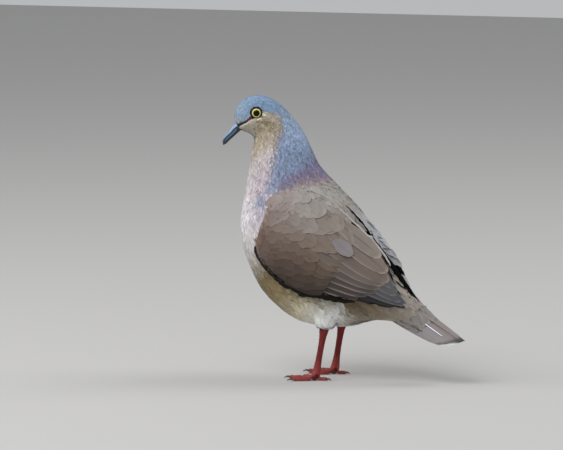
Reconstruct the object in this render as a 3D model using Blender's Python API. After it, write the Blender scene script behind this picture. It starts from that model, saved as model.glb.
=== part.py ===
"""A grey-headed dove, life size, standing alert with its head turned a little to its left.

The bird faces +X with its left side at +Y, and it stands on the floor at Z 0. Sizes are in
millimetres and degrees, and become metres where a mesh is made. The body is one loft from
the tail root to the bill, parted by thin cuts into trunk, neck and head. The wings, tail,
bill, eyes, legs, toes and claws are solids of their own, a small gap away from each other.
"""

import math
from dataclasses import dataclass

import bmesh
import bpy
from mathutils import Matrix, Vector
from mathutils.bvhtree import BVHTree

MM = 0.001
GAP = 0.35  # clear space between neighbouring solids

BODY_SIDES = 26
RINGS_PER_SPAN = 2
NECK_AXIS_X = 38.5  # the upright axis on which the head turns
TAIL_SLOPE = 37.0

FOOT_HALF_SPACING = 18.0
HOCK_HALF_SPACING = 17.0
FOOT_JOINT = (0.0, 5.6)  # along X and above the floor
HOCK_JOINT = (-5.6, 37.0)
TOE_FLAT = 0.35  # how much of a toe's underside the floor cuts away


@dataclass(frozen=True)
class Ring:
    """One cross-section of the body, through a point of the back and one of the belly."""

    name: str
    back: tuple  # X, Z of the upper outline, with the head facing straight ahead
    belly: tuple  # X, Z of the lower outline
    half_width: float
    level: float = 0.5  # height of the widest point, from belly 0 to back 1
    fullness: float = 2.1  # superellipse power: 2 is an ellipse, more is boxier
    turn: float = 0.0  # turn to the bird's left about the neck's axis


BODY = (
    Ring("tail coverts' end", (-73.2, 51.4), (-65.6, 39.4), 11.8, 0.42, 2.4),
    Ring("tail root", (-68.4, 56.2), (-55.5, 41.6), 14.0, 0.45, 2.35),
    Ring("rump", (-59.4, 67.6), (-38.5, 42.3), 18.0, 0.48, 2.2),
    Ring("vent", (-49.4, 81.3), (-19.8, 38.8), 22.5),
    Ring("thighs", (-39.5, 95.5), (-1.0, 37.4), 27.5),
    Ring("belly", (-30.4, 108.6), (17.4, 38.8), 30.5, 0.5, 2.15),
    Ring("keel", (-21.2, 120.4), (33.6, 48.2), 31.5, 0.5, 2.2),
    Ring("breast", (-12.4, 130.0), (46.8, 61.0), 31.0, 0.49, 2.2),
    Ring("full breast", (-5.0, 137.6), (55.2, 76.6), 29.5, 0.47, 2.15),
    Ring("shoulder", (1.2, 143.6), (61.2, 92.0), 27.0, 0.45, 2.1),
    Ring("crop", (7.0, 150.0), (62.6, 106.4), 23.5, 0.45, 2.1, 1.0),
    Ring("neck base", (11.0, 157.8), (61.2, 119.4), 20.0, 0.46, 2.1, 4.0),
    Ring("lower neck", (14.8, 165.0), (59.1, 132.4), 17.0, 0.48, 2.1, 8.0),
    Ring("middle neck", (18.7, 172.0), (57.2, 145.2), 14.4, 0.5, 2.1, 12.0),
    Ring("upper neck", (23.0, 177.8), (55.0, 156.7), 12.6, 0.5, 2.1, 16.0),
    Ring("throat", (27.4, 183.2), (53.3, 164.3), 11.5, 0.5, 2.1, 20.0),
    Ring("nape", (32.2, 188.4), (54.0, 167.6), 10.9, 0.5, 2.1, 22.0),
    Ring("hindhead", (37.2, 192.4), (55.1, 169.1), 10.5, 0.5, 2.1, 22.0),
    Ring("crown", (43.4, 195.6), (56.3, 169.8), 10.1, 0.49, 2.1, 22.0),
    Ring("brow", (50.4, 196.9), (57.4, 170.2), 9.5, 0.48, 2.1, 22.0),
    Ring("forehead", (57.3, 195.5), (58.5, 170.6), 8.6, 0.47, 2.1, 22.0),
    Ring("face", (62.8, 192.0), (59.5, 170.9), 7.3, 0.45, 2.1, 22.0),
    Ring("lore", (66.0, 187.2), (60.5, 171.2), 5.9, 0.43, 2.1, 22.0),
    Ring("bill feathering", (67.0, 182.2), (61.3, 171.4), 4.5, 0.42, 2.1, 22.0),
    Ring("bill base", (66.4, 177.4), (62.0, 171.6), 3.4, 0.45, 2.1, 22.0),
)
BODY_CUTS = {"trunk": (0.0, 9.45), "neck": (9.45, 15.6), "head": (15.6, 24.0)}


@dataclass(frozen=True)
class Rib:
    """One cross-section of a folded wing, from its lower edge up to the edge on the back."""

    name: str
    lower: tuple
    upper: tuple
    bulge: float
    lift: tuple  # the least that its two edges stand off the trunk's room


WING = (
    Rib("leading edge", (41.6, 20.0, 89.0), (33.5, 12.0, 121.0), 3.0, (0.8, 0.8)),
    Rib("wrist", (37.0, 27.6, 82.5), (22.5, 10.0, 131.0), 8.5, (1.6, 0.8)),
    Rib("forearm", (24.0, 32.4, 71.6), (6.5, 9.0, 134.6), 12.5, (2.6, 0.9)),
    Rib("elbow", (6.0, 33.4, 64.0), (-11.0, 8.0, 127.2), 15.0, (3.0, 1.4)),
    Rib("greater coverts", (-14.0, 32.0, 60.4), (-27.0, 6.8, 113.0), 14.0, (3.1, 2.4)),
    Rib("tertials", (-33.0, 27.6, 57.2), (-40.4, 7.2, 98.0), 9.6, (3.1, 3.0)),
    Rib("secondary tips", (-47.5, 22.6, 54.8), (-50.5, 9.4, 84.6), 5.0, (3.1, 3.1)),
    Rib("primaries", (-58.5, 17.6, 53.8), (-57.5, 12.6, 68.5), 1.8, (3.1, 3.1)),
    Rib("wing tip", (-66.4, 13.6, 54.4), (-65.6, 13.3, 56.9), 0.2, (3.1, 3.1)),
)


@dataclass(frozen=True)
class WingPlate:
    """A layer of the wing between two borders, each a rib number at the low and the high edge."""

    name: str
    front: tuple
    rear: tuple
    sink: float  # how far its outside lies under the outside of the coverts
    thickness: float
    cells: tuple


WING_EASE = 3.0  # the width over which the wing's own form gives way to the trunk's

WING_PLATES = (
    WingPlate("coverts", (0.0, 0.0), (3.95, 4.85), 0.0, 6.5, (10, 12)),
    WingPlate("secondaries", (4.0, 4.9), (5.1, 6.75), 1.0, 3.0, (8, 7)),
    WingPlate("primaries", (5.15, 6.8), (8.0, 8.0), 1.9, 1.6, (6, 6)),
)

# The folded tail is a low roof: its ridge and its sides each run from the root to the tip.
TAIL_RIDGE = (Vector((-66.0, 0.0, 56.4)), Vector((-102.7, 0.0, 30.2)))
TAIL_SIDE = (Vector((-57.0, 10.4, 42.6)), Vector((-97.2, 15.0, 25.6)))
TAIL_END_SHORTER = 0.13  # share of the length by which the outermost feathers are shorter
TAIL_ARCH = math.radians(68.0)  # how far the roof is rounded from ridge to side
TAIL_MIDDLE_SHARE = 0.34
TAIL_THICKNESS = 1.2

EYE_CENTRE = (51.4, 6.4, 184.9)
EYE_RADIUS = 4.5

BILL_SLOPE = 43.0
BILL_ROOT = (64.3, 174.3)


@dataclass(frozen=True)
class BillRing:
    """One cross-section of a jaw: distance along it, its two heights and its half width."""

    along: float
    top: float
    bottom: float
    half_width: float


UPPER_JAW = (
    BillRing(0.3, 3.1, -1.2, 2.9),
    BillRing(3.0, 3.0, -1.2, 2.7),
    BillRing(6.0, 2.3, -1.2, 2.3),
    BillRing(9.5, 2.0, -1.2, 2.0),
    BillRing(12.4, 1.5, -1.5, 1.9),
    BillRing(14.6, 0.3, -2.0, 1.4),
    BillRing(15.9, -1.3, -2.2, 0.5),
)
LOWER_JAW = (
    BillRing(0.3, -1.5, -3.0, 2.6),
    BillRing(3.0, -1.5, -2.9, 2.3),
    BillRing(7.0, -1.5, -2.8, 1.9),
    BillRing(11.0, -1.6, -2.7, 1.6),
    BillRing(13.6, -2.0, -2.8, 1.1),
    BillRing(14.7, -2.4, -2.9, 0.5),
)


@dataclass(frozen=True)
class Toe:
    """A toe's bearing from straight ahead, outwards positive, with its length and claw."""

    name: str
    bearing: float
    root: float  # how far out from the middle of the foot it starts
    length: float
    radius: float
    pads: int
    claw: float


TOES = (
    Toe("hind", 180.0, 0.0, 7.4, 1.5, 1, 3.6),
    Toe("inner", -34.0, -2.4, 14.5, 1.55, 2, 4.2),
    Toe("middle", -1.0, 0.0, 19.5, 1.7, 3, 4.8),
    Toe("outer", 31.0, 2.4, 15.5, 1.55, 3, 4.2),
)

COLOURS = {
    "plumage_grey": ((0.30, 0.36, 0.43), 0.85),
    "plumage_pale": ((0.62, 0.56, 0.52), 0.85),
    "plumage_brown": ((0.26, 0.20, 0.16), 0.8),
    "flight_feather": ((0.14, 0.12, 0.11), 0.7),
    "tail_feather": ((0.30, 0.25, 0.22), 0.75),
    "bill_horn": ((0.05, 0.08, 0.11), 0.35),
    "eye": ((0.70, 0.62, 0.10), 0.08),
    "leg_skin": ((0.45, 0.05, 0.05), 0.5),
    "claw_horn": ((0.10, 0.06, 0.05), 0.4),
}


def clear_scene():
    """Removes whatever the file held before."""
    for item in list(bpy.data.objects):
        bpy.data.objects.remove(item, do_unlink=True)


def finish_of(name):
    """The named plain material, made the first time it is asked for."""
    found = bpy.data.materials.get(name)
    if found:
        return found
    colour, roughness = COLOURS[name]
    made = bpy.data.materials.new(name)
    made.use_nodes = True
    shader = made.node_tree.nodes["Principled BSDF"]
    shader.inputs["Base Color"].default_value = (*colour, 1.0)
    shader.inputs["Roughness"].default_value = roughness
    shader.inputs["Metallic"].default_value = 0.0
    return made


def smooth(share):
    """Eases 0 to 1 with no slope at either end."""
    return share * share * (3.0 - 2.0 * share)


def through(values, place):
    """The Catmull-Rom curve through a list of vectors, at place 0 to len(values) - 1."""
    last = len(values) - 1
    first = min(max(int(place), 0), last - 1)
    t = place - first
    b, c = values[first], values[first + 1]
    a = values[first - 1] if first > 0 else b * 2.0 - c
    d = values[first + 2] if first + 2 <= last else c * 2.0 - b
    return 0.5 * (
        b * 2.0
        + (c - a) * t
        + (a * 2.0 - b * 5.0 + c * 4.0 - d) * t**2
        + (b * 3.0 - a - c * 3.0 + d) * t**3
    )


def grid_mesh(point_at, across, along):
    """A grid of across by along cells, each corner moved to point_at(u, v), u and v from 0 to 1."""
    mesh = bmesh.new()
    bmesh.ops.create_grid(mesh, x_segments=across, y_segments=along, size=0.5)
    for vert in mesh.verts:
        vert.co = Vector(point_at(vert.co.x + 0.5, vert.co.y + 0.5)) * MM
    return mesh


def face_towards(mesh, direction):
    """Turns an open sheet's faces so that most of its area faces a direction."""
    mesh.normal_update()
    if sum((face.normal.dot(direction) * face.calc_area() for face in mesh.faces), 0.0) < 0.0:
        bmesh.ops.reverse_faces(mesh, faces=mesh.faces)


def add_object(name, mesh, finish):
    """Puts a bmesh into the scene as a smooth-shaded object with the named finish."""
    data = bpy.data.meshes.new(name)
    mesh.to_mesh(data)
    mesh.free()
    data.materials.append(finish_of(finish))
    data.shade_smooth()
    data.set_sharp_from_angle(angle=math.radians(50.0))
    made = bpy.data.objects.new(name, data)
    bpy.context.scene.collection.objects.link(made)
    return made


def tube(name, point_at, around, along, finish, floor=None):
    """A closed tube whose rings point_at(u, v) gives, with flat ends, cut off at a floor height."""
    mesh = grid_mesh(point_at, around, along)
    bmesh.ops.remove_doubles(mesh, verts=mesh.verts, dist=1e-3 * MM)
    bmesh.ops.holes_fill(mesh, edges=mesh.edges, sides=0)
    if floor is not None:
        everything = mesh.verts[:] + mesh.edges[:] + mesh.faces[:]
        level = Vector((0.0, 0.0, floor * MM))
        bmesh.ops.bisect_plane(
            mesh, geom=everything, plane_co=level, plane_no=(0.0, 0.0, -1.0), clear_outer=True
        )
        bmesh.ops.holes_fill(mesh, edges=mesh.edges, sides=0)
    bmesh.ops.recalc_face_normals(mesh, faces=mesh.faces)
    return add_object(name, mesh, finish)


def as_cutter(item):
    """Hides an object, so that it only shapes others."""
    item.hide_render = True
    item.display_type = "WIRE"
    return item


def cut_from(item, cutter):
    """Cuts one solid's room out of another."""
    cut = item.modifiers.new("cut_" + cutter.name, "BOOLEAN")
    cut.operation = "DIFFERENCE"
    cut.solver = "EXACT"
    cut.object = cutter


def ring_at(place):
    """The body's cross-section at a place along the loft, between the listed rings."""
    numbers = [
        Vector((*r.back, *r.belly, r.half_width, r.level, r.fullness, r.turn)) for r in BODY
    ]
    x1, z1, x2, z2, half_width, level, fullness, turn = through(numbers, place)
    return Ring("between", (x1, z1), (x2, z2), half_width, level, fullness, turn)


def ring_point(ring, share, margin=0.0, shift=0.0):
    """A point of a ring, share 0 to 1 round it from the back by the left side.

    margin makes the ring larger, and shift moves it along its own normal, towards the bill.
    """
    back = Vector((ring.back[0], 0.0, ring.back[1]))
    belly = Vector((ring.belly[0], 0.0, ring.belly[1]))
    spine = (back - belly).normalized()
    angle = 2.0 * math.pi * share
    power = 2.0 / ring.fullness
    rise = math.copysign(abs(math.cos(angle)) ** power, math.cos(angle))
    side = math.copysign(abs(math.sin(angle)) ** power, math.sin(angle))
    rise += (2.0 * ring.level - 1.0) * (1.0 - rise * rise)
    point = (back + belly) / 2.0 + spine * ((back - belly).length / 2.0 + margin) * rise
    point.y = (ring.half_width + margin) * side
    point += spine.cross(Vector((0.0, 1.0, 0.0))) * shift * -1.0
    return turned(point, ring.turn)


def turned(point, degrees):
    """Turns a point of the straight head to the bird's left about the neck's axis."""
    axis = Vector((NECK_AXIS_X, 0.0, 0.0))
    return axis + Matrix.Rotation(math.radians(degrees), 3, "Z") @ (point - axis)


def build_body():
    """Trunk, neck and head, one loft parted by flat cuts, and the cutter the wings fit."""
    finishes = {"trunk": "plumage_pale", "neck": "plumage_grey", "head": "plumage_grey"}
    made = {}
    last = len(BODY) - 1
    for name, (start, end) in BODY_CUTS.items():
        steps = round((end - start) * RINGS_PER_SPAN)

        def point_at(u, v, start=start, end=end):
            place = start + (end - start) * v
            shift = 0.0
            if v < 1e-6 and start > 0.0:
                shift = GAP / 2.0
            if v > 1.0 - 1e-6 and end < last:
                shift = -GAP / 2.0
            return ring_point(ring_at(place), u, 0.0, shift)

        made[name] = tube(name, point_at, BODY_SIDES, steps, finishes[name])

    def roomy(u, v):
        return ring_point(ring_at(10.4 * v), u, GAP, -GAP if v < 1e-6 else 0.0)

    made["room"] = as_cutter(tube("room_for_trunk", roomy, BODY_SIDES, 21, "plumage_pale"))
    return made


def tree_of(item):
    """The faces of an object, to be searched for the one that a straight line meets."""
    mesh = bmesh.new()
    mesh.from_mesh(item.data)
    tree = BVHTree.FromBMesh(mesh)
    mesh.free()
    return tree


def off_trunk(point, tree, lift):
    """A point of the bird's left side, moved out where it would lie less than lift off the trunk."""
    start = Vector((point.x, 80.0, point.z))
    found = tree.ray_cast(start * MM, Vector((0.0, -1.0, 0.0)))[0]
    if found is None:
        return point
    least = found.y / MM + lift
    blend = max(WING_EASE - abs(point.y - least), 0.0)
    y = max(point.y, least) + blend * blend / (4.0 * WING_EASE)
    return Vector((point.x, y, point.z))


def wing_point(place, height, sink, tree):
    """A point on the outside of the folded left wing, at a rib number and a height from 0 to 1."""
    lower = through([Vector(rib.lower) for rib in WING], place)
    upper = through([Vector(rib.upper) for rib in WING], place)
    bulge, low, high = through([Vector((rib.bulge, *rib.lift)) for rib in WING], place)
    chord = upper - lower
    outward = Vector((0.0, chord.z, -chord.y)).normalized()
    point = lower + chord * height
    point += outward * bulge * 4.0 * height * (1.0 - height)
    return off_trunk(point, tree, low + (high - low) * height) - outward * sink


def build_wing(label, side, room):
    """The coverts, secondaries and primaries of one wing, each a curved plate."""
    tree = tree_of(room)
    for plate in WING_PLATES:

        def point_at(u, v, plate=plate):
            share = smooth(u)
            front = plate.front[0] + (plate.front[1] - plate.front[0]) * share
            rear = plate.rear[0] + (plate.rear[1] - plate.rear[0]) * share
            point = wing_point(front + (rear - front) * v, u, plate.sink, tree)
            return Vector((point.x, point.y * side, point.z))

        mesh = grid_mesh(point_at, *plate.cells)
        bmesh.ops.remove_doubles(mesh, verts=mesh.verts, dist=1e-2 * MM)
        face_towards(mesh, Vector((0.0, side, 0.0)))
        finish = "plumage_brown" if plate.name == "coverts" else "flight_feather"
        made = add_object(f"wing_{label}_{plate.name}", mesh, finish)
        shell = made.modifiers.new("thickness", "SOLIDIFY")
        shell.thickness = plate.thickness * MM
        shell.offset = -1.0
        cut_from(made, room)


def tail_point(along, across, depth):
    """A point of the tail: a share of its length, a share of its half width, and its depth."""
    share = along * (1.0 - TAIL_END_SHORTER * across * across)
    ridge = TAIL_RIDGE[0].lerp(TAIL_RIDGE[1], share)
    side = TAIL_SIDE[0].lerp(TAIL_SIDE[1], share)
    angle = TAIL_ARCH * across
    fall = (1.0 - math.cos(angle)) / (1.0 - math.cos(TAIL_ARCH))
    point = ridge.lerp(side, fall)
    point.y = side.y * math.sin(angle) / math.sin(TAIL_ARCH)
    inwards = Vector((0.0, -math.sin(angle), -math.cos(angle)))
    return point + inwards * depth


def build_tail(room):
    """The middle pair of feathers, and under its edges the folded feathers of each side."""
    under = TAIL_THICKNESS + GAP
    plates = (
        ("tail_centre", -TAIL_MIDDLE_SHARE, TAIL_MIDDLE_SHARE, 0.0, 6),
        ("tail_left", 0.2, 1.0, under, 7),
        ("tail_right", -1.0, -0.2, under, 7),
    )
    for name, first, last, depth, across_cells in plates:

        def point_at(u, v, first=first, last=last, depth=depth):
            return tail_point(v, first + (last - first) * u, depth)

        mesh = grid_mesh(point_at, across_cells, 6)
        face_towards(mesh, Vector((0.0, 0.0, 1.0)))
        made = add_object(name, mesh, "tail_feather")
        shell = made.modifiers.new("thickness", "SOLIDIFY")
        shell.thickness = TAIL_THICKNESS * MM
        shell.offset = -1.0
        cut_from(made, room)


def build_bill():
    """The two jaws, each a tapering loft down the slope of the bill."""
    slope = math.radians(BILL_SLOPE)
    root = Vector((BILL_ROOT[0], 0.0, BILL_ROOT[1]))
    forward = Vector((math.cos(slope), 0.0, -math.sin(slope)))
    upwards = Vector((math.sin(slope), 0.0, math.cos(slope)))
    head_turn = BODY[-1].turn
    for name, jaw in (("bill_upper", UPPER_JAW), ("bill_lower", LOWER_JAW)):
        numbers = [Vector((r.along, r.top, r.bottom, r.half_width)) for r in jaw]

        def point_at(u, v, numbers=numbers):
            along, top, bottom, half_width = through(numbers, v * (len(numbers) - 1))
            angle = 2.0 * math.pi * u
            height = (top + bottom) / 2.0 + (top - bottom) / 2.0 * math.cos(angle)
            point = root + forward * (along + GAP) + upwards * height
            point.y = half_width * math.sin(angle)
            return turned(point, head_turn)

        tube(name, point_at, 12, 2 * (len(jaw) - 1), "bill_horn")


def build_eyes(head):
    """The eyeballs, set in sockets cut in the head."""
    for label, side in (("left", 1.0), ("right", -1.0)):
        centre = turned(
            Vector((EYE_CENTRE[0], EYE_CENTRE[1] * side, EYE_CENTRE[2])), BODY[-1].turn
        )
        for name, radius in ((f"eye_{label}", EYE_RADIUS), (f"socket_{label}", EYE_RADIUS + GAP)):
            mesh = bmesh.new()
            bmesh.ops.create_icosphere(mesh, subdivisions=2, radius=radius * MM)
            bmesh.ops.translate(mesh, verts=mesh.verts, vec=centre * MM)
            ball = add_object(name, mesh, "eye")
            if name.startswith("socket"):
                cut_from(head, as_cutter(ball))


def leg_joints(side):
    """The hock and the foot joint of one leg."""
    hock = Vector((HOCK_JOINT[0], HOCK_HALF_SPACING * side, HOCK_JOINT[1]))
    foot = Vector((FOOT_JOINT[0], FOOT_HALF_SPACING * side, FOOT_JOINT[1]))
    return hock, foot


def tarsus_ring(place, margin):
    """Centre share down the shank, depth and width of the leg, from hock to sole."""
    rings = (
        Vector((-0.06, 2.2, 1.7)),
        Vector((0.0, 3.6, 2.6)),
        Vector((0.1, 3.3, 2.4)),
        Vector((0.24, 2.5, 1.8)),
        Vector((0.5, 2.25, 1.65)),
        Vector((0.76, 2.35, 1.75)),
        Vector((0.92, 2.8, 2.8)),
        Vector((1.03, 3.2, 3.7)),
        Vector((1.12, 2.7, 3.2)),
        Vector((1.17, 1.4, 1.6)),
    )
    share, depth, width = through(rings, place * (len(rings) - 1))
    return share, depth + margin, width + margin


def build_leg(label, side, room):
    """One feathered thigh cuff, the bare shank, and four toes with their claws."""
    hock, foot = leg_joints(side)

    def thigh(u, v):
        angle = 2.0 * math.pi * u
        centre = hock + Vector((-1.5, -2.0 * side, 14.0)) * (1.0 - v) + Vector((0, 0, 0.4 * v))
        radius = 11.0 + (4.6 - 11.0) * v**0.8
        across = Vector((math.cos(angle) * 1.12, math.sin(angle) * 0.85, 0.0))
        return centre + across * radius

    cuff = tube(f"thigh_{label}", thigh, 16, 5, "plumage_pale")
    cut_from(cuff, room)

    def shank_at(margin):
        def point_at(u, v):
            share, depth, width = tarsus_ring(v, margin)
            angle = 2.0 * math.pi * u
            centre = hock.lerp(foot, share)
            return centre + Vector((depth * math.cos(angle), width * math.sin(angle), 0.0))

        return point_at

    shank = tube(f"tarsus_{label}", shank_at(0.0), 10, 13, "leg_skin", floor=0.0)
    shank_room = as_cutter(tube(f"room_for_tarsus_{label}", shank_at(GAP), 10, 13, "leg_skin"))
    cut_from(cuff, shank_room)
    for toe in TOES:
        build_toe(label, side, toe, foot, shank_room)
    return shank


def build_toe(label, side, toe, foot, shank_room):
    """A toe that slopes down from the foot and lies flat, with a pad at each joint."""
    bearing = math.radians(toe.bearing) * side
    ahead = Vector((math.cos(bearing), math.sin(bearing), 0.0))
    sideways = Vector((-ahead.y, ahead.x, 0.0))
    ground = toe.radius - TOE_FLAT

    def middle_of(share):
        slope_end = 0.35
        lift = (foot.z - 1.2 - ground) * (1.0 - smooth(min(share / slope_end, 1.0)))
        start = Vector((foot.x, foot.y + toe.root * side, ground + lift))
        return start + ahead * toe.length * share

    def point_at(u, v):
        angle = 2.0 * math.pi * u
        pad = 0.12 * math.cos(2.0 * math.pi * toe.pads * v)
        radius = toe.radius * (1.0 + pad - 0.22 * v * v)
        low = radius if math.cos(angle) > 0.0 else toe.radius
        return middle_of(v) + sideways * radius * math.sin(angle) + Vector(
            (0.0, 0.0, low * math.cos(angle))
        )

    made = tube(f"toe_{label}_{toe.name}", point_at, 8, 9, "leg_skin", floor=0.0)
    cut_from(made, shank_room)

    def claw(u, v):
        angle = 2.0 * math.pi * u
        radius = 1.0 * (1.0 - 0.72 * v)
        forward = GAP + toe.claw * v
        arch = 0.55 * math.sin(math.pi * min(v * 1.1, 1.0)) - 0.7 * v * v
        centre = middle_of(1.0) + ahead * forward + Vector((0.0, 0.0, arch - 0.1))
        return centre + sideways * radius * 0.75 * math.sin(angle) + Vector(
            (0.0, 0.0, radius * math.cos(angle))
        )

    tube(f"claw_{label}_{toe.name}", claw, 6, 5, "claw_horn", floor=0.0)


def stand_on_origin():
    """Moves everything so that the origin is under the middle of the bird's bounding box."""
    bpy.context.view_layer.update()
    graph = bpy.context.evaluated_depsgraph_get()
    corners = []
    for item in bpy.context.scene.objects:
        if item.type == "MESH" and not item.hide_render:
            seen = item.evaluated_get(graph)
            corners += [vert.co.copy() for vert in seen.to_mesh().vertices]
            seen.to_mesh_clear()
    low = Vector([min(corner[axis] for corner in corners) for axis in range(3)])
    high = Vector([max(corner[axis] for corner in corners) for axis in range(3)])
    for item in bpy.context.scene.objects:
        item.location -= Vector(((low.x + high.x) / 2.0, (low.y + high.y) / 2.0, low.z))


def main():
    """Builds the whole bird."""
    clear_scene()
    body = build_body()
    build_eyes(body["head"])
    build_bill()
    build_tail(body["room"])
    for label, side in (("left", 1.0), ("right", -1.0)):
        build_wing(label, side, body["room"])
        build_leg(label, side, body["room"])
    stand_on_origin()


main()
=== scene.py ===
"""Looks of a life-size still model of a grey-headed dove, with its floor and light.

Lengths are in millimetres and become metres where a mesh is made. The axes are the frame's own:
+X the way the body faces, +Y the bird's left, +Z up, with the floor at Z = 0.
"""

import logging
import math
from dataclasses import dataclass
from functools import partialmethod
from itertools import product
from typing import Any

import bmesh
import bpy
import numpy as np
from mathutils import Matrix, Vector
from mathutils.bvhtree import BVHTree
from mathutils.kdtree import KDTree


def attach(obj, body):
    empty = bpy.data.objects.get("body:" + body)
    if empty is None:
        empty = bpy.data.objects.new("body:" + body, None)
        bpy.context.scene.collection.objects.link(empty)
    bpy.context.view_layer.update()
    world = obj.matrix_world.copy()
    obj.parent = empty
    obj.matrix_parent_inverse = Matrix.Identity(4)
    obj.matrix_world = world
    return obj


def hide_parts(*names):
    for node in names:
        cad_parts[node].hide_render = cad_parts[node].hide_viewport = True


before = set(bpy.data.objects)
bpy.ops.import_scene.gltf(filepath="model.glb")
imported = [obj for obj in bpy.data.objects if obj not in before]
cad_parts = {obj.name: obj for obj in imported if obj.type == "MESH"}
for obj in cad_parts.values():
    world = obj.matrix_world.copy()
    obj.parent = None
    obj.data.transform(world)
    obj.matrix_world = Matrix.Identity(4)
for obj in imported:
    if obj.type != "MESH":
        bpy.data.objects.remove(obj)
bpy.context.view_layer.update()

MM = 0.001
BODY = "root"
OUTSIDE = 80.0  # farther out to either side than any of the bird
Array = np.ndarray
Colour = tuple[float, float, float]
log = logging.getLogger("dove")


# ---- arithmetic on arrays


def eased(low: float | Array, high: float | Array, value: Array) -> Array:
    """Rises from 0 at low to 1 at high with no slope at either end.

    Args:
        low: Where the rise starts, and above high for a fall.
        high: Where it ends.
        value: The values.

    Returns:
        Shares from 0 to 1.
    """
    share = np.clip((value - low) / (high - low), 0.0, 1.0)
    return share * share * (3.0 - 2.0 * share)


def hump(middle: float | Array, reach: float | Array, value: Array) -> Array:
    """A soft hump: 1 at the middle and 0 from reach away."""
    return eased(0.0, 1.0, 1.0 - np.abs(value - middle) / reach)


def unit(vectors: Array) -> Array:
    """The same vectors, each made one long."""
    return vectors / np.maximum(np.linalg.norm(vectors, axis=-1, keepdims=True), 1e-9)


def blended(first: Array | Colour, second: Array | Colour, share: Array) -> Array:
    """Colours that go from first to second by a share each."""
    first = np.asarray(first, float)
    return first + (np.asarray(second, float) - first) * share[..., None]


def together(*values: Array | float) -> Array:
    """Values side by side along a new last axis, each spread over the others' shape."""
    return np.stack(np.broadcast_arrays(*values), axis=-1)


def smoothed(values: Array) -> Array:
    """Values evened out along their second axis, with its ends kept."""
    calm = values.copy()
    calm[:, 1:-1] = (values[:, :-2] + 2.0 * values[:, 1:-1] + values[:, 2:]) / 4.0
    return calm


def through(points: Array, place: Array) -> Array:
    """The Catmull-Rom curve through a list of points.

    Args:
        points: The points, one row each.
        place: Where to read the curve, from 0 to the number of points less one.

    Returns:
        One point for each place.
    """
    padded = np.vstack([2 * points[:1] - points[1:2], points, 2 * points[-1:] - points[-2:-1]])
    first = np.clip(np.floor(place).astype(int), 0, len(points) - 2)
    t = (place - first)[..., None]
    a, b, c, d = (padded[first + step] for step in range(4))
    bend = (2 * a - 5 * b + 4 * c - d) * t**2
    return 0.5 * (2 * b + (c - a) * t + bend + (3 * b - a - 3 * c + d) * t**3)


def mottle(points: Array, size: float, seed: int) -> Array:
    """A smooth cloudy pattern over space.

    Args:
        points: Where to read it.
        size: How far apart its clouds are, about.
        seed: Which pattern.

    Returns:
        Values from about -1 to 1.
    """
    draw = np.random.default_rng(seed)
    total = np.zeros(points.shape[:-1])
    for _ in range(7):
        wave = unit(draw.normal(size=3)) * 2.0 * math.pi / (size * draw.uniform(0.7, 1.6))
        total += np.sin(points @ wave + draw.uniform(0.0, 2.0 * math.pi))
    return total / 4.0


# ---- shader building


class Wire:
    """One output of a shader node, with the arithmetic that adds Math nodes."""

    def __init__(self, bench: "Bench", socket: bpy.types.NodeSocket) -> None:
        """Keeps the bench that the node stands on, and its socket."""
        self.bench = bench
        self.socket = socket

    def _math(self, operation: str, *others: Any, swapped: bool = False) -> "Wire":
        """Adds a Math node that takes self and others, or others first if swapped."""
        terms = (*others, self) if swapped else (self, *others)
        return self.bench.node("ShaderNodeMath", {"operation": operation}, dict(enumerate(terms)))

    __add__ = __radd__ = partialmethod(_math, "ADD")
    __sub__ = partialmethod(_math, "SUBTRACT")
    __rsub__ = partialmethod(_math, "SUBTRACT", swapped=True)
    __mul__ = __rmul__ = partialmethod(_math, "MULTIPLY")
    __abs__ = partialmethod(_math, "ABSOLUTE")
    sine = partialmethod(_math, "SINE")
    larger = partialmethod(_math, "MAXIMUM")

    def step(self, low: float, high: float) -> "Wire":
        """Rises smoothly from 0 at low to 1 at high."""
        inputs = {"Value": self, "From Min": low, "From Max": high}
        return self.bench.node("ShaderNodeMapRange", {"interpolation_type": "SMOOTHSTEP"}, inputs)


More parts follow.
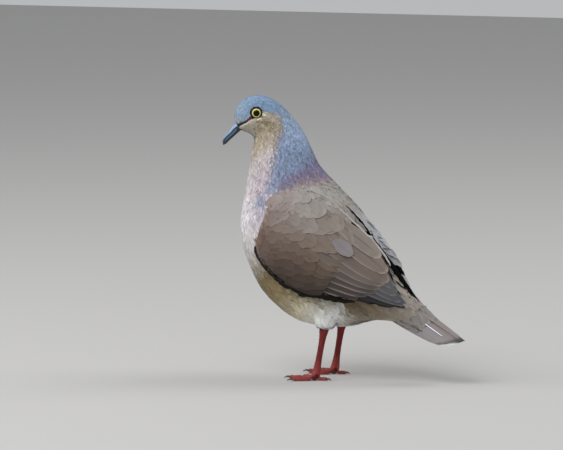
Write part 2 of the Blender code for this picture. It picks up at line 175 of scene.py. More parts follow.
class Bench:
    """A material's node tree, on which nodes are set up and wired."""

    def __init__(self, name: str) -> None:
        """Makes an empty material with a Principled shader."""
        self.material = bpy.data.materials.new(name)
        self.material.use_nodes = True
        self.tree = self.material.node_tree
        self.shader = self.tree.nodes["Principled BSDF"]

    def node(
        self, kind: str, settings: dict[str, Any] | None = None,
        inputs: dict[str | int, Any] | None = None, output: str | int = 0,
    ) -> Wire:
        """Adds any node.

        Args:
            kind: The node's type.
            settings: Its properties, set first. "stops" gives a ramp's places and colours.
            inputs: What its sockets get, as wires or plain values.
            output: Which output to hand back.

        Returns:
            That output.
        """
        made = self.tree.nodes.new(kind)
        for key, value in (settings or {}).items():
            if key == "stops":
                self._set_stops(made.color_ramp, value)
            else:
                setattr(made, key, value)
        for key, value in (inputs or {}).items():
            if isinstance(value, Wire):
                self.tree.links.new(value.socket, made.inputs[key])
            else:
                made.inputs[key].default_value = value
        return Wire(self, made.outputs[output])

    @staticmethod
    def _set_stops(ramp: bpy.types.ColorRamp, stops: list[tuple[float, Colour]]) -> None:
        """Gives a ramp its stops, the first two being those that it comes with."""
        for index, (place, colour) in enumerate(stops):
            stop = ramp.elements[index] if index < 2 else ramp.elements.new(place)
            stop.position = place
            stop.color = (*colour, 1.0)

    def mix(self, share: Any, first: Any, second: Any) -> Wire:
        """Goes from the first colour to the second by a share."""
        inputs = {0: share, 6: first, 7: second}
        return self.node("ShaderNodeMix", {"data_type": "RGBA"}, inputs, 2)

    def scaled(self, colour: Wire, by: Any) -> Wire:
        """A colour made lighter or darker."""
        return self.node("ShaderNodeVectorMath", {"operation": "SCALE"}, {0: colour, "Scale": by})

    def attribute(self, name: str, output: str = "Color") -> Wire:
        """What the mesh holds under a name."""
        return self.node("ShaderNodeAttribute", {"attribute_name": name}, output=output)

    def noise(self, scale: float, detail: float = 3.0) -> Wire:
        """Cloudy noise over the piece's own space, in clouds per metre."""
        place = self.node("ShaderNodeTexCoord", output="Object")
        inputs = {"Vector": place, "Scale": scale, "Detail": detail}
        return self.node("ShaderNodeTexNoise", inputs=inputs)

    def bump(self, height: Wire, depth: float, strength: float = 1.0) -> Wire:
        """A surface normal that shows a height, depth being in millimetres."""
        inputs = {"Height": height, "Distance": depth * MM, "Strength": strength}
        return self.node("ShaderNodeBump", inputs=inputs, output="Normal")

    def dress(self, links: dict[str, Wire], values: dict[str, Any]) -> bpy.types.Material:
        """Wires the Principled shader.

        Args:
            links: What changes over the surface.
            values: What is the same all over.

        Returns:
            The finished material.
        """
        for name, wire in links.items():
            self.tree.links.new(wire.socket, self.shader.inputs[name])
        for name, value in values.items():
            self.shader.inputs[name].default_value = value
        return self.material


@dataclass(frozen=True)
class Finish:
    """A surface whose material is built once and then shared."""

    name: str

    def material(self) -> bpy.types.Material:
        """Finds the material, or builds it."""
        return bpy.data.materials.get(self.name) or self.built(Bench(self.name))

    def built(self, bench: Bench) -> bpy.types.Material:
        """Wires the material on a new bench."""
        raise NotImplementedError


@dataclass(frozen=True)
class FeatherFinish(Finish):
    """The surface of one kind of feather, whose colours its mesh holds."""

    barbs: float  # how many barbs lie along a vane
    barb_slant: float  # how far forward they reach at the edge, in barbs
    barb_tone: float  # how much darker the furrows between them are
    fringe: float  # how much lighter the edge is, below 0 for a darker one
    fringe_width: float
    shaft: float  # how much the shaft's own tone shows
    shaft_tone: float
    roughness: float
    specular: float = 0.16

    def built(self, bench: Bench) -> bpy.types.Material:
        """Wires the material on a new bench."""
        place = bench.node("ShaderNodeUVMap", {"uv_map": "vane"})
        across = bench.node("ShaderNodeSeparateXYZ", inputs={0: place}, output=0)
        along = bench.node("ShaderNodeSeparateXYZ", inputs={0: place}, output=1)
        side = abs(across - 0.5) * 2.0
        wander = bench.noise(900.0, 2.0)
        phase = (along * self.barbs + side * -self.barb_slant + wander * 0.9) * (2.0 * math.pi)
        furrow = phase.sine() * 0.5 + 0.5
        edge = side.step(1.0 - self.fringe_width, 1.0)
        edge = edge.larger(along.step(1.0 - 0.6 * self.fringe_width, 1.0))
        shaft = (1.0 - side.step(0.03, 0.12)) * (1.0 - along.step(0.75, 0.97)) * self.shaft
        tone = 1.0 - furrow * self.barb_tone + edge * self.fringe
        tone = tone * (0.9 + bench.noise(260.0) * 0.2)
        plain = bench.scaled(bench.attribute("plumage"), tone)
        own = bench.scaled(bench.attribute("plumage"), self.shaft_tone)
        relief = furrow * -0.35 + shaft * 0.8 + wander * 0.3
        links = {
            "Base Color": bench.mix(shaft, plain, own),
            "Roughness": furrow * 0.08 + (self.roughness - 0.04),
            "Normal": bench.bump(relief, 0.09, 0.6),
        }
        return bench.dress(links, {"Specular IOR Level": self.specular})


@dataclass(frozen=True)
class SkinFinish(Finish):
    """Bare or feathered skin, whose colours its mesh holds."""

    grain: float  # clouds per metre
    relief: float  # in millimetres
    roughness: float
    coat: float

    def built(self, bench: Bench) -> bpy.types.Material:
        """Wires the material on a new bench."""
        fine = bench.noise(self.grain, 4.0)
        cloud = bench.noise(self.grain * 0.22, 2.0)
        tone = 0.78 + fine * 0.22 + cloud * 0.22
        links = {
            "Base Color": bench.scaled(bench.attribute("plumage"), tone),
            "Roughness": fine * 0.25 + (self.roughness - 0.12),
            "Normal": bench.bump(fine + cloud, self.relief, 0.7),
        }
        values = {"Coat Weight": self.coat, "Coat Roughness": 0.25, "Specular IOR Level": 0.25}
        return bench.dress(links, values)


@dataclass(frozen=True)
class EyeFinish(Finish):
    """A wet eye: black pupil, pale yellow iris with a dark rim. Its mesh holds the distance out."""

    pupil: float = 2.2  # radius
    iris: float = 3.16
    reach: float = 5.0  # the distance out that the mesh calls 1

    def built(self, bench: Bench) -> bpy.types.Material:
        """Wires the material on a new bench."""
        out = bench.attribute("ring", "Fac")
        streaks = bench.noise(1500.0, 4.0)
        pupil = self.pupil / self.reach
        iris = self.iris / self.reach
        stops = [
            (0.0, (0.002, 0.002, 0.003)), (1.0, (0.02, 0.02, 0.03)),
            (pupil - 0.012, (0.002, 0.002, 0.003)),
            (pupil + 0.012, (0.30, 0.25, 0.03)),
            (pupil + 0.05, (0.70, 0.64, 0.10)),
            (iris - 0.06, (0.72, 0.66, 0.16)),
            (iris - 0.02, (0.30, 0.26, 0.08)),
            (iris + 0.01, (0.012, 0.014, 0.02)),
        ]
        ring = bench.node("ShaderNodeValToRGB", {"stops": stops}, {"Fac": out})
        links = {"Base Color": bench.scaled(ring, 0.75 + streaks * 0.5)}
        values = {"Roughness": 0.2, "Coat Weight": 0.2, "Coat Roughness": 0.02}
        values["Specular IOR Level"] = 0.1
        return bench.dress(links, values)


@dataclass(frozen=True)
class HornFinish(Finish):
    """Satin horn with fine growth lines, whose colours its mesh holds."""

    roughness: float

    def built(self, bench: Bench) -> bpy.types.Material:
        """Wires the material on a new bench."""
        lines = bench.noise(1400.0, 3.0)
        cloud = bench.noise(350.0, 3.0)
        links = {
            "Base Color": bench.scaled(bench.attribute("plumage"), 0.8 + cloud * 0.4),
            "Roughness": lines * 0.2 + (self.roughness - 0.1),
            "Normal": bench.bump(lines + cloud, 0.05, 0.5),
        }
        values = {"Coat Weight": 0.25, "Coat Roughness": 0.2, "Specular IOR Level": 0.5}
        return bench.dress(links, values)


SOFT_FEATHER = FeatherFinish("dressed_soft_feather", 9.0, 2.5, 0.10, 0.06, 0.25, 0.1, 0.85, 0.62)
# A matte finish for the near-black feathers that paint the shadow between the wings.
SHADOW_FEATHER = FeatherFinish("dressed_shadow_feather", 9.0, 2.5, 0.10, 0.0, 0.25, 0.0, 1.0, 0.9, 0.02)
SMALL_FEATHER = FeatherFinish("dressed_small_feather", 5.0, 1.5, 0.14, 0.10, 0.30, 0.0, 1.0, 0.6)
COVERT_FEATHER = FeatherFinish(
    "dressed_covert_feather", 26.0, 6.0, 0.07, 0.10, 0.14, 0.5, 0.72, 0.52
)
FLIGHT_FEATHER = FeatherFinish(
    "dressed_flight_feather", 80.0, 16.0, 0.06, 0.55, 0.09, 0.8, 0.55, 0.45
)
# Its shafts are 2.4 times the vane's tone: a pale shaft, partly painted as a glint.
TAIL_FEATHER = FeatherFinish("dressed_tail_feather", 80.0, 14.0, 0.07, 0.25, 0.08, 0.9, 2.4, 0.45)
FEATHERED_SKIN = SkinFinish("dressed_feathered_skin", 900.0, 0.15, 0.7, 0.0)
LEG_SKIN = SkinFinish("dressed_leg_skin", 1800.0, 0.06, 0.55, 0.03)
EYE_RING_SKIN = SkinFinish("dressed_eye_ring_skin", 2600.0, 0.08, 0.42, 0.2)
WET_EYE = EyeFinish("wet_eye")
BILL_HORN = HornFinish("dressed_bill", 0.36)
CLAW_HORN = HornFinish("dressed_claw", 0.4)
CLAW_TONE: Colour = (0.07, 0.045, 0.04)


# ---- meshes


def linked(name: str, data: bpy.types.ID) -> bpy.types.Object:
    """Puts a mesh, a lamp or a camera into the scene, at the origin."""
    made = bpy.data.objects.new(name, data)
    bpy.context.scene.collection.objects.link(made)
    return made


def painted(mesh: bpy.types.Mesh, colours: Array | Colour) -> None:
    """Keeps a colour for each vertex as the mesh's attribute "plumage"."""
    plumage = mesh.attributes.get("plumage")
    plumage = plumage or mesh.attributes.new("plumage", "FLOAT_COLOR", "POINT")
    colours = np.broadcast_to(colours, (len(mesh.vertices), 3))
    opaque = np.concatenate([np.clip(colours, 0.0, 1.0), np.ones((len(colours), 1))], axis=1)
    plumage.data.foreach_set("color", opaque.astype(np.float32).ravel())


def mesh_from(
    name: str, points: Array, quads: Array, colours: Array | Colour,
    maps: dict[str, Array] | None = None, shading: Array | None = None,
) -> bpy.types.Object:
    """Makes an object from joined arrays.

    Args:
        name: The piece's name.
        points: Its vertices.
        quads: Its four-cornered faces.
        colours: One colour, or one for each vertex.
        maps: UV maps by name, a place for each vertex.
        shading: The direction that light takes each vertex to face, where it isn't the mesh's own.

    Returns:
        The object, smooth-shaded.
    """
    mesh = bpy.data.meshes.new(name)
    mesh.vertices.add(len(points))
    mesh.vertices.foreach_set("co", (points * MM).astype(np.float32).ravel())
    mesh.loops.add(quads.size)
    mesh.loops.foreach_set("vertex_index", quads.astype(np.int32).ravel())
    mesh.polygons.add(len(quads))
    mesh.polygons.foreach_set("loop_start", np.arange(0, quads.size, 4, dtype=np.int32))
    mesh.update(calc_edges=True)
    painted(mesh, colours)
    for map_name, places in (maps or {}).items():
        layer = mesh.uv_layers.new(name=map_name, do_init=False)
        layer.data.foreach_set("uv", places[quads.ravel()].astype(np.float32).ravel())
    if maps:
        mesh.uv_layers.active = mesh.uv_layers["vane"]
        mesh.uv_layers["vane"].active_render = True
    mesh.shade_smooth()
    if shading is not None:
        mesh.normals_split_custom_set_from_vertices(shading.tolist())
    return linked(name, mesh)


def fitted(
    piece: bpy.types.Object, slot: str, finishes: tuple[Finish, ...], *nodes: str
) -> bpy.types.Object:
    """Dresses a piece and fixes it to the body.

    Args:
        piece: The piece.
        slot: A material slot's name; not used.
        finishes: Its surfaces.
        *nodes: The solids that it stands for.

    Returns:
        The piece.
    """
    for finish in finishes:
        piece.data.materials.append(finish.material())
    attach(piece, BODY)
    if nodes:
        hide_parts(*nodes)
    log.info("%s: %d faces", piece.name, len(piece.data.polygons))
    return piece


def vertices_of(mesh: bpy.types.Mesh) -> Array:
    """A mesh's vertices in millimetres."""
    points = np.empty(len(mesh.vertices) * 3, np.float32)
    mesh.vertices.foreach_get("co", points)
    return points.reshape(-1, 3).astype(float) / MM


def normals_of(points: Array, quads: Array) -> Array:
    """The outward direction at each vertex."""
    corners = points[quads]
    face = np.cross(corners[:, 2] - corners[:, 0], corners[:, 3] - corners[:, 1])
    total = np.zeros_like(points)
    for corner in range(4):
        np.add.at(total, quads[:, corner], face)
    return unit(total)


def relaxed(points: Array, quads: Array, rounds: int) -> Array:
    """Vertices moved towards the middle of their neighbours, some rounds over."""
    pairs = np.concatenate([quads[:, [a, (a + 1) % 4]] for a in range(4)])
    size = len(points)
    count = np.maximum(np.bincount(pairs[:, 0], minlength=size), 1)[:, None]
    for _ in range(rounds):
        ends = points[pairs[:, 1]]
        total = together(*(np.bincount(pairs[:, 0], ends[:, axis], size) for axis in range(3)))
        points = points * 0.4 + total / count * 0.6
    return points


def largest_shell(points: Array, quads: Array) -> tuple[Array, Array]:
    """Keeps the one closed shell with the most vertices."""
    label = np.arange(len(points))
    while True:
        lowest = label[quads].min(axis=1)
        update = label.copy()
        for corner in range(4):
            np.minimum.at(update, quads[:, corner], lowest)
        update = update[update]
        if (update == label).all():
            break
        label = update
    keep = label == np.bincount(label).argmax()
    index = np.cumsum(keep) - 1
    return points[keep], index[quads[keep[quads[:, 0]]]]


class Form:
    """A smooth copy of some solids' joined outer surface, which skin and feathers follow."""

    def __init__(self, nodes: list[str], voxel: float, rounds: int) -> None:
        """Wraps the solids.

        Args:
            nodes: The solids' names.
            voxel: The size of its faces.
            rounds: How often it is smoothed.
        """
        merged = bmesh.new()
        for node in nodes:
            merged.from_mesh(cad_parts[node].data)
        bmesh.ops.remove_doubles(merged, verts=merged.verts, dist=1e-3 * MM)
        mesh = bpy.data.meshes.new("wrapped")
        merged.to_mesh(mesh)
        merged.free()
        helper = linked("wrapped", mesh)
        wrap = helper.modifiers.new("wrap", "REMESH")
        wrap.mode = "VOXEL"
        wrap.voxel_size = voxel * MM
        graph = bpy.context.evaluated_depsgraph_get()
        wrapped = bpy.data.meshes.new_from_object(helper.evaluated_get(graph))
        quads = [tuple(face.vertices) for face in wrapped.polygons if len(face.vertices) == 4]
        points, self.quads = largest_shell(vertices_of(wrapped), np.array(quads))
        bpy.data.objects.remove(helper)
        bpy.data.meshes.remove(mesh)
        bpy.data.meshes.remove(wrapped)
        self.points = relaxed(points, self.quads, rounds)
        self.normals = normals_of(self.points, self.quads)
        self.face_normals = unit(self.normals[self.quads].mean(axis=1))
        self.tree = BVHTree.FromPolygons(self.points.tolist(), self.quads.tolist())

    def nearest(self, places: Array) -> tuple[Array, Array]:
        """The nearest point of the surface to each place, and the outward direction there."""
        flat = places.reshape(-1, 3)
        found = [self.tree.find_nearest(place) for place in flat.tolist()]
        points = np.array([tuple(hit[0]) for hit in found])
        normals = self.face_normals[[hit[2] for hit in found]]
        return points.reshape(places.shape), normals.reshape(places.shape)

    def from_side(self, flat: Array, side: float) -> tuple[Array, Array]:
        """The first points of the surface met from the bird's left or right.

        Where a line misses, the spot stays where it is and takes the nearest point's depth.

        Args:
            flat: The spots, ahead and up.
            side: 1 from the left and -1 from the right.

        Returns:
            The points, and the outward directions there.
        """
        points = together(flat[..., 0], OUTSIDE * side, flat[..., 1])
        spots = points.reshape(-1, 3)
        faces = np.empty(len(spots), int)
        for index, spot in enumerate(spots.tolist()):
            hit, _, face, _ = self.tree.ray_cast(spot, (0.0, -side, 0.0))
            if hit is None:
                hit = spot
                for _ in range(4):
                    near, _, face, _ = self.tree.find_nearest(hit)
                    hit[1] = near[1]
            spots[index] = tuple(hit)
            faces[index] = face
        return spots.reshape(points.shape), self.face_normals[faces].reshape(points.shape)


# ---- feathers


@dataclass(frozen=True)
class VaneCut:
    """The outline and section that one kind of feather has."""

    rows: int  # cells along it
    columns: int  # cells across it
    root_width: float  # share of its full width
    tip_width: float
    widest: float  # share of its length
    roundness: float  # 1 for a half-round tip
    ragged: float  # how uneven the tip is, as a share of the length
    camber: float  # how far the edges bend down, as a share of the width
    thickness: float

    @property
    def along(self) -> Array:
        """Where its rows are, from 0 at the root to 1 at the tip."""
        return np.linspace(0.0, 1.0, self.rows + 1)

    @property
    def across(self) -> Array:
        """Where its columns are, from -1 to 1."""
        return np.linspace(-1.0, 1.0, self.columns + 1)

    @property
    def tip_arc(self) -> Array:
        """How far a round tip is drawn back at each column, from 0 to 1."""
        return (1.0 - np.sqrt(1.0 - 0.92 * self.across**2)) / (1.0 - math.sqrt(0.08))

    @property
    def half_width(self) -> Array:
        """Its half width at each row, as a share of the widest."""
        along = self.along
        rise = np.sin(0.5 * math.pi * np.clip(along / self.widest, 0.0, 1.0))
        past = np.clip((along - self.widest) / (1.0 - self.widest), 0.0, 1.0)
        fall = np.cos(0.5 * math.pi * past)
        rising = self.root_width + (1.0 - self.root_width) * rise
        falling = self.tip_width + (1.0 - self.tip_width) * fall
        return np.where(along < self.widest, rising, falling)


@dataclass
class Lie:
    """Where a batch of feathers lies: their middle lines, and the outward directions there."""

    middle: Array  # feather, row, xyz
    outward: Array
    width: Array
    rise: Array  # feather, row: height of the middle line over the surface
    roll: Array | None = None  # how far one edge stands over the other, per unit of width


class Coat:
    """Feathers of one piece, gathered as arrays and joined into one mesh."""

    UNDER_TONE = 0.85
    LONG_PATCH = 0.22  # how wide each of a few long feathers is on the bake map

    def __init__(
        self, name: str, slot: str, finish: FeatherFinish, calm: float, patch: float = 0.003
    ) -> None:
        """Starts an empty piece.

        Args:
            name: The piece's name.
            slot: A material slot's name.
            finish: Its feathers' surface.
            calm: How far its shading follows the coat as a whole, not each vane, from 0 to 1.
            patch: How wide each feather is on the bake map.
        """
        self.name, self.slot, self.finish, self.calm, self.patch = name, slot, finish, calm, patch
        keys = ("points", "quads", "colours", "shading", "vane", "OFBake")
        self.arrays: dict[str, list[Array]] = {key: [] for key in keys}
        self.count = 0

    def lay(
        self, cut: VaneCut, lie: Lie, colours: Array, roots: Array, draw: np.random.Generator
    ) -> None:
        """Adds feathers whose middle lines are known, each vane spread over the surface there."""
        across = cut.across
        way = unit(np.gradient(lie.middle, axis=1))
        side = unit(np.cross(lie.outward, way))
        half = lie.width[:, None] * 0.5 * cut.half_width[None]
        length = np.linalg.norm(np.diff(lie.middle, axis=1), axis=-1).sum(axis=1)
        drop = self.tip_drop(cut, length, half[:, -1], draw)
        out = half[:, :, None] * across
        lift = lie.rise[:, :, None] - cut.camber * lie.width[:, None, None] * across**2
        if lie.roll is not None:
            lift = lift + lie.roll[:, None, None] * out
        grid = lie.middle[:, :, None] + side[:, :, None] * out[..., None]
        grid = grid - way[:, :, None] * drop[..., None]
        grid = grid + lie.outward[:, :, None] * lift[..., None]
        self.add(cut, grid, lie.outward[:, :, None], colours, roots)

    @staticmethod
    def tip_drop(cut: VaneCut, length: Array, tip_half: Array, draw: np.random.Generator) -> Array:
        """How far each vertex is drawn back so that the tip is round and ragged."""
        drop = cut.roundness * tip_half[:, None] * cut.tip_arc[None]
        drop = drop + cut.ragged * length[:, None] * draw.random((len(length), cut.columns + 1))
        return drop[:, None, :] * cut.along[None, :, None] ** 2

    def add(
        self, cut: VaneCut, grid: Array, outward: Array, colours: Array, roots: Array
    ) -> None:
        """Adds closed vanes whose middle surfaces are known.

        Args:
            cut: Their kind, whose thickness they take.
            grid: Their middle surfaces: feather, row, column, xyz.
            outward: The outward direction at each of those points.
            colours: A colour at each of those points.
            roots: Each root's place on the unwrapped surface, from 0 to 1 both ways.
        """
        number, rows, columns = grid.shape[:3]
        swell = np.outer(np.sin(math.pi * cut.along) ** 0.5, 1.0 - cut.across**2)
        thick = outward * (0.5 * cut.thickness * swell)[None, :, :, None]
        top = grid + thick
        own = unit(np.cross(np.gradient(top, axis=1), np.gradient(top, axis=2)))
        facing = unit(outward * self.calm + own * (1.0 - self.calm))
        colours = np.broadcast_to(colours, grid.shape)
        place = together(*np.meshgrid(cut.along, cut.across * 0.5 + 0.5, indexing="ij")[::-1])[None]
        place = self._both(place, place)
        points = self._both(top, grid - thick)
        shift = self.count + np.arange(number)[:, None, None] * points.shape[1]
        added = {
            "points": points,
            "quads": self._closed_quads(rows, columns)[None] + shift,
            "colours": self._both(colours, colours * self.UNDER_TONE),
            "shading": self._both(facing, -facing),
            "vane": np.tile(place, (number, 1, 1)),
            "OFBake": np.clip(roots, 0.01, 0.99)[:, None] + (place - 0.5) * self.patch,
        }
        for key, values in added.items():
            self.arrays[key].append(values.reshape(-1, values.shape[-1]))
        self.count += number * points.shape[1]

    @staticmethod
    def _both(top: Array, under: Array) -> Array:
        """What belongs to each vane's upper side, then to its underside within the rim."""
        sides = (top, under[:, 1:-1, 1:-1])
        return np.concatenate([side.reshape(len(side), -1, side.shape[-1]) for side in sides], 1)

    @staticmethod
    def _closed_quads(rows: int, columns: int) -> Array:
        """The faces of one vane: its top, and an underside that shares the rim."""
        top = np.arange(rows * columns).reshape(rows, columns)
        under = top.copy()
        inner = np.arange((rows - 2) * (columns - 2)).reshape(rows - 2, columns - 2)
        under[1:-1, 1:-1] = rows * columns + inner
        faces = []
        # Both sides start at the same corner, so that each pair of faces is cut alike.
        for sheet, order in ((top, (0, 1, 2, 3)), (under, (0, 3, 2, 1))):
            corners = [sheet[:-1, :-1], sheet[1:, :-1], sheet[1:, 1:], sheet[:-1, 1:]]
            faces.append(together(*(corners[index] for index in order)).reshape(-1, 4))
        return np.concatenate(faces)

    def finished(self, *nodes: str) -> bpy.types.Object:
        """Joins the feathers into one object that stands for the given solids."""
        whole = {key: np.concatenate(some) for key, some in self.arrays.items()}
        maps = {key: whole[key] for key in ("vane", "OFBake")}
        made = mesh_from(
            self.name, whole["points"], whole["quads"], whole["colours"], maps, whole["shading"]
        )
        return fitted(made, self.slot, (self.finish,), *nodes)


# ---- places on the bird


FORWARD = 14.893  # the tables below have their origin between the feet
HEAD_TURN = math.radians(22.0)
HEAD_AXIS_X = 38.5 + FORWARD
SIDES = (1.0, -1.0)
BODY_LENGTH = 218.0  # along the body's middle line, from the tail's end to the bill
OLIVE: Colour = (0.165, 0.12, 0.055)


def head_place(points: Array) -> Array:
    """Places as they would be if the head looked straight ahead, in the tables' own frame."""
    x, y = points[..., 0] - HEAD_AXIS_X, points[..., 1]
    cos, sin = math.cos(HEAD_TURN), math.sin(HEAD_TURN)
    ahead = HEAD_AXIS_X - FORWARD + x * cos + y * sin
    return together(ahead, y * cos - x * sin, points[..., 2])


def from_head(points: Array) -> Array:
    """Undoes head_place."""
    x, y = points[..., 0] + FORWARD - HEAD_AXIS_X, points[..., 1]
    cos, sin = math.cos(HEAD_TURN), math.sin(HEAD_TURN)
    return together(HEAD_AXIS_X + x * cos - y * sin, x * sin + y * cos, points[..., 2])


def head_way(ways: Array) -> Array:
    """Turns a direction with the head."""
    return from_head(ways) - from_head(np.zeros(3))


def from_path(points: Array, path: tuple[Array | tuple[float, ...], ...]) -> tuple[Array, Array]:
    """How far points are from a path of straight lines, and their share of the way along it."""
    nearest = np.full(points.shape[:-1], 1e9)
    along = np.zeros_like(nearest)
    start = 0.0
    for first, last in zip(np.array(path[:-1]), np.array(path[1:])):
        run = last - first
        length = float(np.linalg.norm(run))
        share = np.clip((points - first) @ run / length**2, 0.0, 1.0)
        gap = np.linalg.norm(points - first - share[..., None] * run, axis=-1)
        along = np.where(gap < nearest, start + share * length, along)
        nearest = np.minimum(nearest, gap)
        start += length
    return nearest, along / start


def lined(points: Array, path: tuple[tuple[float, ...], ...], outer: float, inner: float) -> Array:
    """How much points lie on a soft line along a path."""
    return eased(outer, inner, from_path(points, path)[0])


def graded(place: Array, stops: tuple[tuple[float, Colour], ...]) -> Array:
    """Colours read between stops."""
    at, tones = zip(*stops)
    return together(*(np.interp(place, at, channel) for channel in zip(*tones)))


@dataclass(frozen=True)
class Station:
    """One section of the body: where its back and its underside are, ahead and up."""

    back: tuple[float, float]
    under: tuple[float, float]
    turn: float  # degrees to the left


STATIONS = (
    Station((-73.2, 51.4), (-65.6, 39.4), 0.0), Station((-49.4, 81.3), (-19.8, 38.8), 0.0),
    Station((-30.4, 108.6), (17.4, 38.8), 0.0), Station((-12.4, 130.0), (46.8, 61.0), 0.0),
    Station((1.2, 143.6), (61.2, 92.0), 0.0), Station((11.0, 157.8), (61.2, 119.4), 4.0),
    Station((18.7, 172.0), (57.2, 145.2), 12.0), Station((27.4, 183.2), (53.3, 164.3), 20.0),
    Station((37.2, 192.4), (55.1, 169.1), 22.0), Station((50.4, 196.9), (57.4, 170.2), 22.0),
    Station((62.8, 192.0), (59.5, 170.9), 22.0), Station((66.4, 177.4), (62.0, 171.6), 22.0),
)


class Spine:
    """The body's middle line: it gives a place its distance from the tail and its bearing."""

    SAMPLES = 900
    BATCH = 20000

    def __init__(self) -> None:
        """Runs a smooth line through the stations."""
        middles, backs, sides = [], [], []
        for station in STATIONS:
            angle = math.radians(station.turn)
            ahead = np.array([math.cos(angle), math.sin(angle), 0.0])
            back, under = (
                np.array([HEAD_AXIS_X, 0.0, z]) + ahead * (x + FORWARD - HEAD_AXIS_X)
                for x, z in (station.back, station.under)
            )
            middles.append((back + under) / 2.0)
            backs.append(unit(back - under))
            sides.append(np.array([-math.sin(angle), math.cos(angle), 0.0]))
        place = np.linspace(0.0, len(STATIONS) - 1.0, self.SAMPLES)
        self.middle = through(np.array(middles), place)
        self.back = through(np.array(backs), place)
        self.side = through(np.array(sides), place)
        steps = np.linalg.norm(np.diff(self.middle, axis=0), axis=1)
        self.arc = np.concatenate([[0.0], np.cumsum(steps)])
        self.tailward = -unit(np.gradient(self.middle, axis=0))

    def locate(self, points: Array) -> tuple[Array, Array, Array]:
        """Where points are on the body.

        Args:
            points: The places.

        Returns:
            The distance along the middle line from the tail, the bearing round it in degrees
            (0 at the back, positive on the left, 180 underneath), and the way to the tail.
        """
        flat = points.reshape(-1, 3)
        nearest = np.empty(len(flat), int)
        size = (self.middle**2).sum(axis=1)
        for first in range(0, len(flat), self.BATCH):
            some = flat[first : first + self.BATCH]
            nearest[first : first + self.BATCH] = (size - 2.0 * some @ self.middle.T).argmin(axis=1)
        off = flat - self.middle[nearest]
        left = (off * self.side[nearest]).sum(axis=1)
        up = (off * self.back[nearest]).sum(axis=1)
        bearing = np.degrees(np.arctan2(left, up))
        shape = points.shape[:-1]
        tailward = self.tailward[nearest].reshape(points.shape)
        return self.arc[nearest].reshape(shape), bearing.reshape(shape), tailward


@dataclass(frozen=True)
class Eye:
    """Where the eyes are, and how large the ball and the bare ring round it are."""

    centre: tuple[float, float, float] = (51.4, 6.4, 184.9)
    radius: float = 4.5
    ring: float = 3.6

    def middle(self, side: float) -> Array:
        """The ball's centre on one side of the turned head."""
        x, y, z = self.centre
        return from_head(np.array([x, y * side, z]))

    def axis(self, side: float) -> Array:
        """The way that eye looks."""
        return head_way(np.array([0.0, side, 0.0]))

    def distance(self, head: Array) -> tuple[Array, Array]:
        """How far places in the head's frame are from the eye's axis, and at what angle."""
        x, z = head[..., 0] - self.centre[0], head[..., 2] - self.centre[2]
        return np.hypot(x, z), np.degrees(np.arctan2(z, x))


EYE = Eye()
LORE = ((65.4, 174.9), (63.4, 176.3), (60.8, 177.5), (57.4, 179.6), (54.6, 181.8))
PALE_LINE = (
    (42.6, 184.4), (46.4, 183.8), (47.6, 183.0), (49.0, 181.3), (51.0, 180.5),
    (52.9, 180.6), (57.0, 178.4), (60.5, 176.5), (62.6, 174.9),
)
BRIDGE = ((66.2, 178.6), (62.6, 178.9))
EAR_STREAK = ((51.0, 179.2), (46.0, 178.2), (43.6, 176.9), (39.8, 177.8), (38.0, 179.0))
GAPE = ((65.0, 172.3), (61.6, 173.0))
FACE_WEDGE = ((64.4, 173.9), (60.2, 176.0))


